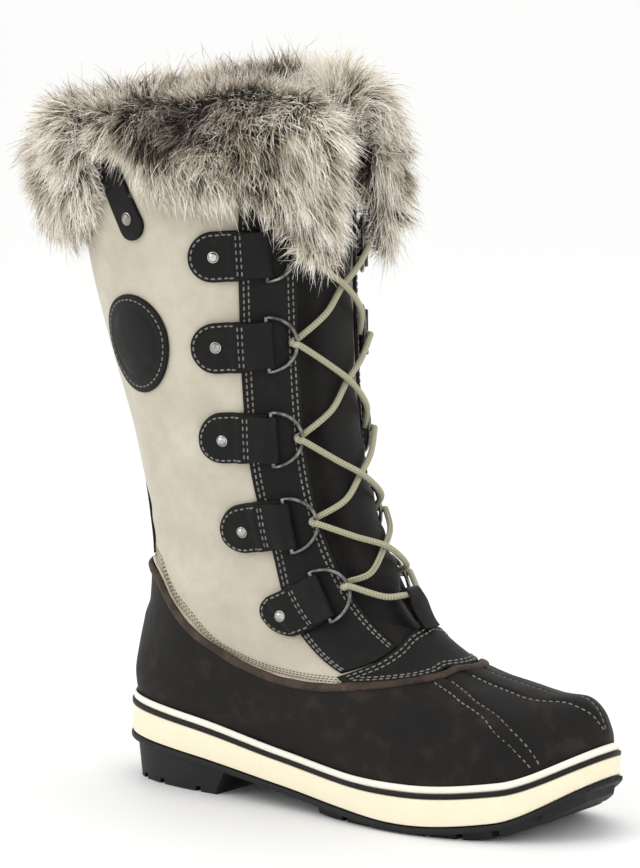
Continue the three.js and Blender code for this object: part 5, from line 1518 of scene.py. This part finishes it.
    def hook(self, spot: TabSpot, side: Side, angles: Sequence[float]) -> Array:
        """Points of the lace round a ring's wire, by angle from straight out."""
        sheet = self.sheet(spot, side)
        along, out = self.ring_axes(sheet)
        wire = self.fold_centre(sheet) - along * self.ring_depth
        radius = self.shown_wire / 2 + self.lace_diameter / 2 + 0.15
        turned = np.radians(angles)[:, None]
        beside = np.linspace(-self.helix, self.helix, len(angles))[:, None]
        beside = beside * self.lace_diameter * self.up_sign(sheet)
        return wire + along * radius * np.sin(turned) + out * radius * np.cos(turned) + sheet.q_axis * beside

    def route(self, start: Side) -> Array:
        """One strand from the foot loop up: over, round and under each ring, crossing in between."""
        sheet = self.loop_sheet()
        through = self.loop_centre(sheet)
        points = [through, through + sheet.q_axis * start.value * (self.loop_width / 2 + 2)]
        low = len(self.spots) - 1
        rise = self.tongue_crown + FORM.loose_fit + self.lace_diameter / 2
        beside = FORM.throat_half * self.beside_middle
        side = start
        for i in range(low, -1, -1):
            spot = self.spots[i]
            below = self.loop_row if i == low else self.spots[i + 1].row
            before = mix(spot.row, below, 0.5 if i == low else self.coming)
            points.append(arc_point(before, side.value * beside, rise + 0.4))
            if i == 0:
                points.extend(self.hook(spot, side, self.end_angles))
                break
            above = self.spots[i - 1].row
            on_top = side is Side.INNER
            points.extend(self.hook(spot, side, self.hook_angles))
            leave, cross = (1.4, 1.5) if on_top else (0.6, -1.7)
            points.append(arc_point(mix(spot.row, above, self.leaving), side.value * beside, rise + leave))
            points.append(arc_point(mix(spot.row, above, self.crossing), 0.0, rise + cross))
            side = Side(-side.value)
        return np.array(points)

    def lace(self, bench: Bench) -> None:
        """Both strands of the lace as one piece, smooth through their routes."""
        parts, marks = [], []
        for start in Side:
            points, faces, uv = tube(spline(self.route(start), 9), self.lace_diameter / 2, 14)
            parts.append((points, faces))
            marks.append(uv)
        bench.piece("braided_lace", parts, [CORD], ["lace"], uv=np.concatenate(marks))


@dataclass(frozen=True)
class Sole:
    """Foxing with its stripe and rim, and the outsole with lip, heel block and lugs."""

    lip_height: float = 3.2
    plate_gap: float = 1.9
    lug_height: float = 4
    lug_inset: float = 4
    lug_pitch: float = 17
    groove_width: float = 3.4
    groove_depth: float = 2.8
    heel_length: float = 70
    heel_inset: float = 3.5
    heel_taper: float = 2
    breast_slant: float = 7
    heel_grooves: tuple[float, ...] = (0.2, 0.42, 0.8)
    white_step: float = 0.7
    stripe_inlay: float = 1.6
    stripe_proud: float = 0.3
    cream_share: float = 0.63
    stripe_share: float = 0.79
    sections: int = 320

    def outline(self, turn: Array, offset: Array) -> Array:
        """The lowest section pushed out level by an offset."""
        point = FORM.face(turn, 0.0 * turn)
        along = FORM.face(turn + TURN_STEP, 0.0 * turn) - FORM.face(turn - TURN_STEP, 0.0 * turn)
        out = np.stack([-along[..., 1], along[..., 0], 0 * along[..., 0]], -1)
        centre = (FORM.face(np.array(0.0), np.array(0.0)) + FORM.face(np.array(0.5), np.array(0.0))) / 2
        facing = np.einsum("...k,...k->...", out, point - centre)
        return point + unit(out) * np.sign(facing)[..., None] * np.asarray(offset)[..., None]

    def raised(self, turn: Array, offset: Array, height: Array) -> Array:
        """Outline points at a height, which is an array or a function of x."""
        points = self.outline(turn, offset)
        points[..., 2] = height(points[..., 0]) if callable(height) else height
        return points

    def band_height(self, turn: Array, share: float) -> Array:
        """Height on the foxing's face at a share of its rim's row."""
        rim = FORM.rim(FORM.sole_share(FORM.face(turn, 0 * turn)[..., 0]))
        return FORM.face(turn, rim * share)[..., 2]

    def plate_top(self, x: Array) -> Array:
        """Top of the outsole plate."""
        return FORM.sole_top(x) - self.plate_gap

    def plate_under(self, x: Array) -> Array:
        """Underside of the outsole plate."""
        return self.plate_top(x) - self.lip_height

    def build(self, bench: Bench) -> None:
        """Builds the foxing, its stripe and the outsole."""
        turn = np.linspace(0, 1, self.sections, endpoint=False)
        self.foxing(bench, turn)
        self.stripe(bench, turn)
        self.outsole(bench, turn)

    def foxing(self, bench: Bench, turn: Array) -> None:
        """The cream band and white rim: one closed profile carried round the foot."""
        rim = FORM.rim(FORM.sole_share(FORM.face(turn, 0 * turn)[..., 0]))
        inside = FORM.foxing_from + FORM.loose_fit
        foot = FORM.layer(turn, 0 * turn, inside)
        low = lambda x: self.plate_top(x) + FORM.loose_fit
        foot[..., 2] = low(foot[..., 0])
        wall = lambda share, offset: self.raised(turn, offset, self.band_height(turn, share))
        cream = FORM.cream_to
        white = cream - self.white_step
        deep = cream - self.stripe_inlay
        rings = [
            foot,
            self.raised(turn, cream - 0.8, low),
            self.raised(turn, cream - 0.15, lambda x: low(x) + 0.3),
            self.raised(turn, cream, lambda x: low(x) + 1.0),
            wall(self.cream_share - 0.05, cream),
            wall(self.cream_share - 0.012, cream - 0.15),
            wall(self.cream_share, cream - 0.5),
            wall(self.cream_share, deep),
            wall(self.stripe_share, deep),
            wall(self.stripe_share, white - 0.5),
            wall(self.stripe_share + 0.012, white - 0.12),
            wall(self.stripe_share + 0.04, white),
            wall(0.93, white),
            wall(0.975, white - 0.3),
            wall(1.0, white - 1.0),
            FORM.layer(turn, rim, inside),
        ]
        points = np.stack(rings).reshape(-1, 3)
        faces = grid_faces(len(rings), len(turn), True, True)
        index = (faces[:, 0] // len(turn) >= 8).astype(int)
        bench.piece("cream_foxing", [(points, faces)], [CREAM, WHITE], ["foxing"], index=index,
                    weld=False,
                    crease=30)

    def stripe(self, bench: Bench, turn: Array) -> None:
        """The thin black stripe inlaid between the cream band and the white rim."""
        low = self.band_height(turn, self.cream_share) + FORM.clearance
        high = self.band_height(turn, self.stripe_share) - FORM.clearance
        inside = FORM.cream_to - self.stripe_inlay + FORM.clearance
        outside = FORM.cream_to + self.stripe_proud
        profile = ((inside, 0.0), (outside - 0.3, 0.0), (outside, 0.18), (outside, 0.82),
                   (outside - 0.3, 1.0),
                   (inside, 1.0))
        rings = [self.raised(turn, offset, mix(low, high, share)) for offset, share in profile]
        points = np.stack(rings).reshape(-1, 3)
        bench.piece("black_foxing_stripe", [(points, grid_faces(len(rings), len(turn), True, True))], [BLACK],
                    ["foxing_stripe"])

    def span(self, x0: float, x1: float, offsets: tuple[float, float], low: Callable[[Array], Array],
             high: Callable[[Array], Array], lean: float = 0) -> tuple[Array, Array]:
        """A block under the plate between two places along it, its sides following the outline."""
        turn = np.linspace(0, 0.5, 400)
        grids = []
        for offset, height in zip(offsets, (low, high)):
            outer = self.outline(turn, offset)
            inner = self.outline(1 - turn, offset)
            tip0 = max(outer[:, 0].min(), inner[:, 0].min()) + 0.05
            tip1 = min(outer[:, 0].max(), inner[:, 0].max()) - 0.05
            end = x1 + (lean if height is high else 0)
            share = (1 - np.cos(np.linspace(0, math.pi, 40))) / 2
            x = mix(max(x0, tip0), min(end, tip1), share)
            y0 = np.interp(x, outer[::-1, 0], outer[::-1, 1])
            y1 = np.interp(x, inner[::-1, 0], inner[::-1, 1])
            y = mix(y0[:, None], y1[:, None], edged(8, 60)[None, :])
            xs = np.broadcast_to(x[:, None], y.shape)
            grids.append(np.stack([xs, y, height(xs)], -1))
        return slab(grids[1], grids[0])

    def outsole(self, bench: Bench, turn: Array) -> None:
        """Plate with its serrated lip, heel block on notched feet, and the forefoot's lugs."""
        toe = ease((0.17 - np.minimum(turn, 1 - turn)) / 0.05)
        teeth = 0.35 * toe * np.sign(np.sin(turn * 2 * math.pi * 150))
        count = len(turn)
        profile = ((-1.1, self.plate_under, 0.0), (-0.4, self.plate_under, 0.3), (0.0, self.plate_under, 0.9),
                   (0.0, self.plate_top, -0.7), (-0.3, self.plate_top, -0.2), (-0.8, self.plate_top, 0.0))
        rings = [self.raised(turn, FORM.lip_to + shift + teeth * (shift > -0.2), lambda x, f=f, d=d: f(x) + d)
                 for shift, f, d in profile]
        wall = np.stack(rings).reshape(-1, 3)
        faces = grid_faces(len(rings), count, False, True)
        i = np.arange(1, count // 2 - 1)
        ladder = np.stack([i, i + 1, count - i - 1, count - i], -1)
        ends = np.array([[0, 1, count - 1, count - 1],
                         [count // 2, count // 2 + 1, count // 2 - 1, count // 2 - 1]])
        cap = np.concatenate([ladder, ends])
        top = (len(rings) - 1) * count
        plate = (wall, np.concatenate([faces, cap[:, ::-1], cap + top]))
        start = FORM.sole_back
        heel_back = start + self.heel_inset
        breast = heel_back + self.heel_length
        inset = FORM.lip_to - self.heel_inset
        under = lambda x: self.plate_under(x) + 1.0
        flat = lambda z: (lambda x: 0 * x + z)
        block = self.span(start, breast, (inset - self.heel_taper + 0.2, inset), flat(self.groove_depth),
                          under, lean=self.breast_slant)
        parts = [plate, block]
        grooves = [mix(heel_back, breast, share) for share in self.heel_grooves]
        starts = [start] + [g + self.groove_width for g in grooves]
        for x0, x1 in zip(starts, grooves + [breast]):
            low_offset = inset - self.heel_taper
            parts.append(self.span(x0, x1, (low_offset, low_offset + 0.2), flat(0.0),
                                   flat(self.groove_depth + 0.3)))
        lug_start = start + FORM.sole_length / 2
        x = lug_start
        while x < start + FORM.sole_length - self.lug_pitch / 2:
            parts.append(self.span(
                x + (self.groove_width if x > lug_start else 0), x + self.lug_pitch,
                (FORM.lip_to - self.lug_inset, FORM.lip_to - self.lug_inset + 1),
                lambda v: np.maximum(0, self.plate_under(v) - self.lug_height), under))
            x += self.lug_pitch
        made = bench.piece("rubber_outsole", parts, [TREAD], ["outsole"], crease=35)
        bevel = made.modifiers.new("soft_edges", "BEVEL")
        bevel.width = 0.35 * MM
        bevel.segments = 2
        bevel.limit_method = "ANGLE"
        bevel.angle_limit = math.radians(50)


@dataclass(frozen=True)
class FurCuff:
    """The fur collar: a rounded core folded over the collar, and hairs in clumps all over it.

    The core lies inside the fur by about half a hair; it rises at the notch that the pull strap hangs in.
    """

    thickness: float = 17
    flap_thickness: float = 24
    leg: float = 14
    lining: float = 7
    slit_outer: float = 12
    slit_inner: float = 34
    slit_round: float = 0.03
    reach: float = 86
    over_lace: float = 15.2
    notch_place: float = 0.277
    notch_half: float = 0.052
    notch_drop: float = -3
    hairs: int = 15200
    batches: int = 4
    hair_length: float = 16
    hair_width: float = 0.53
    around_mm: float = 409
    across_mm: float = 130
    clumps_around: int = 199
    clumps_across: int = 97
    clump: float = 6
    clump_lean: float = 0.26
    lock: float = 15
    lock_lean: float = 0.34
    fineness: int = 5
    bare_columns: int = 27
    lump_waves: int = 14
    lump_length: float = 15
    lump_height: float = 0.5
    over_from: float = 0.36
    over_fade: float = 0.14
    seed: int = 11
    drop_line: Line = Line((0, .05, .1, .16, .22, .3, .45, .62, .75, 1),
                           (.8, .74, .54, .33, .25, .25, .25, .31, .4, .41))
    rise_line: Line = Line((0, .1, .3, .5, .62, .8, .92, 1), (15, 18, 18, 20, 31, 33, 29, 19))

    def notch(self, share: Array) -> Array:
        """How far the fur is parted for the pull strap, from 0 to 1."""
        return np.exp(-(((share - self.notch_place) / self.notch_half) ** 4))

    def profile(self, share: Array) -> Array:
        """The core's section at each share round the collar, as rings of 14 points.

        Args:
            share: from one edge of the front slit round to the other.
        Returns:
            Points of shape (len(share), 14, 3).
        """
        collar = np.full(share.shape, float(COLLAR))
        girth = 2 * ARCS.half_girth(collar)
        arc = self.slit_outer + share * (girth - self.slit_outer - self.slit_inner)
        near = ARCS.turn(collar, np.minimum(arc, girth - arc))
        turn = np.where(arc < girth / 2, near, 1 - near)
        from_slit = 1 - np.abs(2 * share - 1)
        part = self.notch(share)
        drop = mix(self.reach * self.drop_line(from_slit), self.notch_drop, part)
        over = ease((self.over_from - from_slit) / self.over_fade)
        per_mm = FORM.rows_up(turn, collar - 0.2, 1)
        rise = self.rise_line(share)
        inner = mix(FORM.clearance + 2, self.over_lace, over)
        lip = FORM.clearance + 0.9
        leg = mix(-self.leg, lip + 0.4, over)
        thick = mix(self.thickness, self.flap_thickness, over) * (1 - 0.25 * part)
        side = -FORM.upper_wall - FORM.clearance - 0.5
        rows = ((inner, -0.88 * drop), (inner, -0.5 * drop), (inner, lip), (side, lip + 0.2), (side, leg),
                (side - self.lining, leg + 1), (side - self.lining, 0.45 * rise), (side, 0.86 * rise),
                (0.28 * thick, rise), (0.72 * thick, 0.7 * rise), (thick, 0.05 * rise), (thick, -0.5 * drop),
                (mix(inner, thick, 0.75), -0.82 * drop), (mix(inner, thick, 0.3), -drop))
        rings = []
        for out, up in rows:
            out, up = np.broadcast_to(out, share.shape), np.broadcast_to(up, share.shape)
            rings.append(FORM.layer(turn, collar + up * per_mm, out))
        return np.stack(rings, 1)

    def surface(self) -> tuple[Array, Array]:
        """The core's grid of points and outward normals: the section smoothed, with soft lumps."""
        share = np.linspace(0, 1, 221)
        rings = self.profile(share)
        grid = np.moveaxis(spline(np.moveaxis(rings, 1, 0), self.fineness, closed=True), 0, 1)
        normal = np.cross(np.gradient(grid, axis=0), np.roll(grid, -1, 1) - np.roll(grid, 1, 1))
        middle = grid.mean(axis=1, keepdims=True)
        normal = unit(normal) * np.sign(np.einsum("ijk,ijk->ij", normal, grid - middle).mean())
        rng = np.random.default_rng(self.seed)
        lumps = np.zeros(grid.shape[:2])
        for _ in range(self.lump_waves):
            wave = rng.normal(size=3) / self.lump_length
            lumps = lumps + np.sin(grid @ wave + rng.uniform(0, 6.3))
        place = np.arange(grid.shape[1]) / self.fineness
        free = ease((place - 7) / 1.5) * ease((12.5 - place) / 1.5)
        grid = grid + normal * (lumps * self.lump_height * free)[..., None]
        near_end = np.clip(np.minimum(share, 1 - share) / self.slit_round, 0, 1)
        dome = mix(0.04, 1.0, np.sqrt(1 - (1 - near_end) ** 2))[:, None, None]
        grid = middle + (grid - middle) * dome
        capped = np.cross(np.gradient(grid, axis=0), np.roll(grid, -1, 1) - np.roll(grid, 1, 1))
        return grid, unit(capped) * np.sign(np.einsum("ijk,ijk->", capped, grid - middle))

    def build(self, bench: Bench) -> None:
        """Builds the core and its hairs; the core's dark colour is partly painted shade deep in the pile."""
        grid, normal = self.surface()
        rows, cols = grid.shape[:2]
        middle = grid.mean(axis=1)
        points = np.concatenate([grid.reshape(-1, 3), middle[:1], middle[-1:]])
        faces = grid_faces(rows, cols, False, True)
        j = np.arange(cols)
        k = (j + 1) % cols
        base, hub = (rows - 1) * cols, np.full(cols, rows * cols)
        first = np.stack([k, j, hub, hub], -1)
        last = np.stack([base + j, base + k, hub + 1, hub + 1], -1)
        # Its dark finish is painted shade between the hairs as well as the backing's own colour.
        bench.piece("fur_core", [(points, np.concatenate([faces, first, last]))], [UNDERFUR_AND_PILE_SHADE],
                    ["fur_cuff"])
        rng = np.random.default_rng(self.seed)
        for batch in range(self.batches):
            self.hair_batch(bench, grid, normal, rng, batch + 1)

    def cell(self, where: Array, size: float, rng: np.random.Generator) -> Array:
        """Number of each root's clump: its cell in a grid of a size in millimetres, with ragged edges."""
        cell = np.floor(where / size + rng.normal(0, 0.2, where.shape)).astype(int)
        return (cell[:, 0] % self.clumps_around) * self.clumps_across + cell[:, 1] % self.clumps_across

    def clumping(self, where: Array, root: Array, rng: np.random.Generator) -> tuple[Array, Array, Array,
                                                                                     Array]:
        """What hairs share with their lock and clump, the same in every batch.

        Args:
            where: each root's place round and across the cuff, in millimetres.
            root: the roots.
            rng: draws the clumps' ragged edges and each hair's own tone.
        Returns:
            Lean, length factor, tone and the way to the middle of the clump.
        """
        small, big = self.cell(where, self.clump, rng), self.cell(where, self.lock, rng)
        steady = np.random.default_rng(self.seed + 5)
        cells = self.clumps_around * self.clumps_across
        lean = steady.normal(0, self.lock_lean, (cells, 3))[big]
        lean = lean + steady.normal(0, self.clump_lean, (cells, 3))[small]
        tall = steady.uniform(0.82, 1.12, cells)[big] * steady.uniform(0.82, 1.12, cells)[small]
        tone = 0.5 * steady.uniform(size=cells)[big] + 0.3 * steady.uniform(size=cells)[small]
        tone = np.clip(0.5 + 1.5 * (tone + 0.2 * rng.uniform(size=len(root)) - 0.5), 0, 1)
        count = np.maximum(np.bincount(small, minlength=cells), 1)
        gather = np.stack([np.bincount(small, root[:, k], cells) / count for k in range(3)], -1)[small] - root
        away = np.maximum(np.linalg.norm(gather, axis=1), 1e-6)
        return lean, tall, tone, gather * np.minimum(1, self.clump / away)[:, None]

    def hair_batch(self, bench: Bench, grid: Array, normal: Array, rng: np.random.Generator,
                   number: int) -> None:
        """One mesh of hairs: roots spread evenly by area, each a tapering ribbon bent to its clump."""
        cols = grid.shape[1]
        low = self.bare_columns
        cells = grid[:, low:]
        area = np.linalg.norm(np.cross(np.diff(cells[:, :-1], axis=0), np.diff(cells[:-1], axis=1)), axis=-1)
        chance = np.cumsum(area.ravel())
        pick = np.searchsorted(chance, rng.uniform(0, chance[-1], self.hairs))
        i, j = np.divmod(pick, area.shape[1])
        s, t = rng.uniform(size=(2, self.hairs))
        right, after = j + low, (j + low + 1) % cols

        def read(g: Array) -> Array:
            """Values of a grid at the roots."""
            a, b, c, d = g[i, right], g[i + 1, right], g[i, after], g[i + 1, after]
            return mix(mix(a, b, s[:, None]), mix(c, d, s[:, None]), t[:, None])

        root, out = read(grid), unit(read(normal))
        comb = unit(read(np.roll(grid, -2, 1)) - root)
        around = unit(read(np.gradient(grid, axis=0)))
        share = (i + s) / (grid.shape[0] - 1)
        column = (j + t) / area.shape[1]
        where = np.stack([share * self.around_mm, column * self.across_mm], -1)
        lean, tall, tone, gather = self.clumping(where, root, rng)
        tone = tone - 0.7 * np.exp(-(((share - 0.17) / 0.085) ** 2) - ((column - 0.42) / 0.16) ** 2)
        upright = np.clip(out[:, 2], 0, 1)[:, None]
        forward = np.select([share < 0.28, share > 0.86, share < 0.5], [-0.7, 0.3, 0.5], -0.3)
        sweep = around * forward[:, None] * 0.35 * (1 - upright)
        first = unit(out * 0.85 + comb * (0.7 - 0.55 * upright) + sweep + lean * 0.8
                     + rng.normal(0, 0.2, root.shape))
        bend = comb * 0.3 + np.array([0, 0, -0.22]) + lean * 0.3 + sweep * 0.5 + rng.normal(0, 0.1,
                                                                                            root.shape)
        parted = self.notch(share) * ease((column - 0.4) / 0.2)
        length = self.hair_length * tall * rng.uniform(0.7, 1.2, self.hairs) * (1 - 0.62 * parted)
        length = (length * mix(1.0, 1.28, upright[:, 0]))[:, None]
        curl = rng.normal(0, 1.1, root.shape)
        steps = np.linspace(0, 1, 5)
        curve = [root - out + length * (first * s + bend * s * s) * 0.85 + gather * 0.8 * s**1.3
                 + curl * math.sin(2 * math.pi * s) * s for s in steps]
        path = np.stack(curve, 1)
        ahead = unit(np.gradient(path, axis=1))
        roll = unit(np.cross(ahead, unit(rng.normal(size=(self.hairs, 1, 3)) + 0.8 * out[:, None])))
        width = self.hair_width * np.array([1.0, 0.95, 0.75, 0.5, 0.06])[None, :, None] / 2
        width = width * rng.uniform(0.6, 1.3, (self.hairs, 1, 1))
        points = np.stack([path - roll * width, path + roll * width], 2).reshape(-1, 3)
        strip = np.array([[0, 1, 3, 2], [2, 3, 5, 4], [4, 5, 7, 6], [6, 7, 9, 8]])
        faces = (strip[None] + (np.arange(self.hairs) * 10)[:, None, None]).reshape(-1, 4)
        uv = np.stack([np.repeat(tone, 10), np.tile(np.repeat(steps, 2), self.hairs)], -1)
        bench.piece(f"fur_hairs_{number}", [(points, faces)], [FUR], uv=uv, weld=False, crease=180)


@dataclass(frozen=True)
class Studio:
    """Camera, floor and lights. The camera's sizes were fitted to the sole's rim and the shaft."""

    azimuth: float = 36.528
    elevation: float = 7.4285
    distance: float = 1871.16
    target: tuple[float, float, float] = (77.58, 0.0, 188.889)
    lens: float = 151.33
    floor_half: float = 60
    aim: tuple[float, float, float] = (0.07, 0, 0.19)

    def build(self) -> None:
        """Makes the camera first, then the floor, the world and three soft lights."""
        turn, lift = math.radians(self.azimuth), math.radians(self.elevation)
        back = Vector((math.sin(turn) * math.cos(lift), -math.cos(turn) * math.cos(lift), math.sin(lift)))
        camera = bpy.data.cameras.new("photo_camera")
        camera.lens = self.lens
        camera.sensor_width = 36
        made = bpy.data.objects.new("photo_camera", camera)
        made.location = (Vector(self.target) + back * self.distance) * MM
        made.rotation_mode = "QUATERNION"
        made.rotation_quaternion = (-back).to_track_quat("-Z", "Y")
        bpy.context.scene.collection.objects.link(made)
        bpy.context.scene.camera = made
        bpy.context.scene.view_settings.view_transform = "Standard"
        self.floor()
        self.lights()

    def floor(self) -> None:
        """A wide pale floor."""
        corners = [(x * self.floor_half, y * self.floor_half, 0) for x,
                   y in ((-1, -1), (1, -1), (1, 1), (-1, 1))]
        mesh = bpy.data.meshes.new("studio_floor")
        mesh.from_pydata(corners, [], [(0, 1, 2, 3)])
        pale = bpy.data.materials.new("pale_floor")
        pale.use_nodes = True
        surface = pale.node_tree.nodes["Principled BSDF"]
        surface.inputs["Base Color"].default_value = linear("#fafaf9")
        surface.inputs["Roughness"].default_value = 0.6
        mesh.materials.append(pale)
        made = bpy.data.objects.new("studio_floor", mesh)
        bpy.context.scene.collection.objects.link(made)
        made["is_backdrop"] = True

    def lights(self) -> None:
        """A bright even world and soft boxes: a key from the camera's left, a fill and a top light."""
        world = bpy.data.worlds.new("studio_world")
        world.use_nodes = True
        world.node_tree.nodes["Background"].inputs["Color"].default_value = linear("#ffffff")
        world.node_tree.nodes["Background"].inputs["Strength"].default_value = 1.02
        bpy.context.scene.world = world
        boxes = (("key_box", (-0.9, -1.5, 1.3), 1.2, 8), ("fill_box", (1.9, -0.9, 0.9), 1.2, 4),
                 ("top_box", (0.1, 0.2, 2.0), 1.4, 6))
        for name, place, size, power in boxes:
            data = bpy.data.lights.new(name, "AREA")
            data.size = size
            data.energy = power
            made = bpy.data.objects.new(name, data)
            made.location = place
            made.rotation_mode = "QUATERNION"
            made.rotation_quaternion = (Vector(self.aim) - Vector(place)).to_track_quat("-Z", "Y")
            bpy.context.scene.collection.objects.link(made)


def dress_insole(bench: Bench) -> None:
    """Gives the felt insole its finish."""
    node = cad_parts["insole"]
    node.data.materials.clear()
    node.data.materials.append(bench.material(FLEECE))


def main() -> None:
    """Builds the studio and the boot's assemblies in order."""
    logging.basicConfig(level=logging.INFO, format="%(name)s: %(message)s")
    Studio().build()
    bench = Bench()
    Sole().build(bench)
    LowerShell().build(bench)
    Upper().build(bench)
    Lacing().build(bench)
    FurCuff().build(bench)
    bench.piece("seam_stitches", [THREADS.shell()], [THREAD])
    bench.piece("fine_edge_stitches", [FINE_THREADS.shell()], [FINE_THREAD])
    dress_insole(bench)
    low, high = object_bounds()
    size = {"cad": [list(CAD_LOW), list(CAD_HIGH)], "visual": [list(low), list(high)]}


if __name__ == "__main__":
    main()
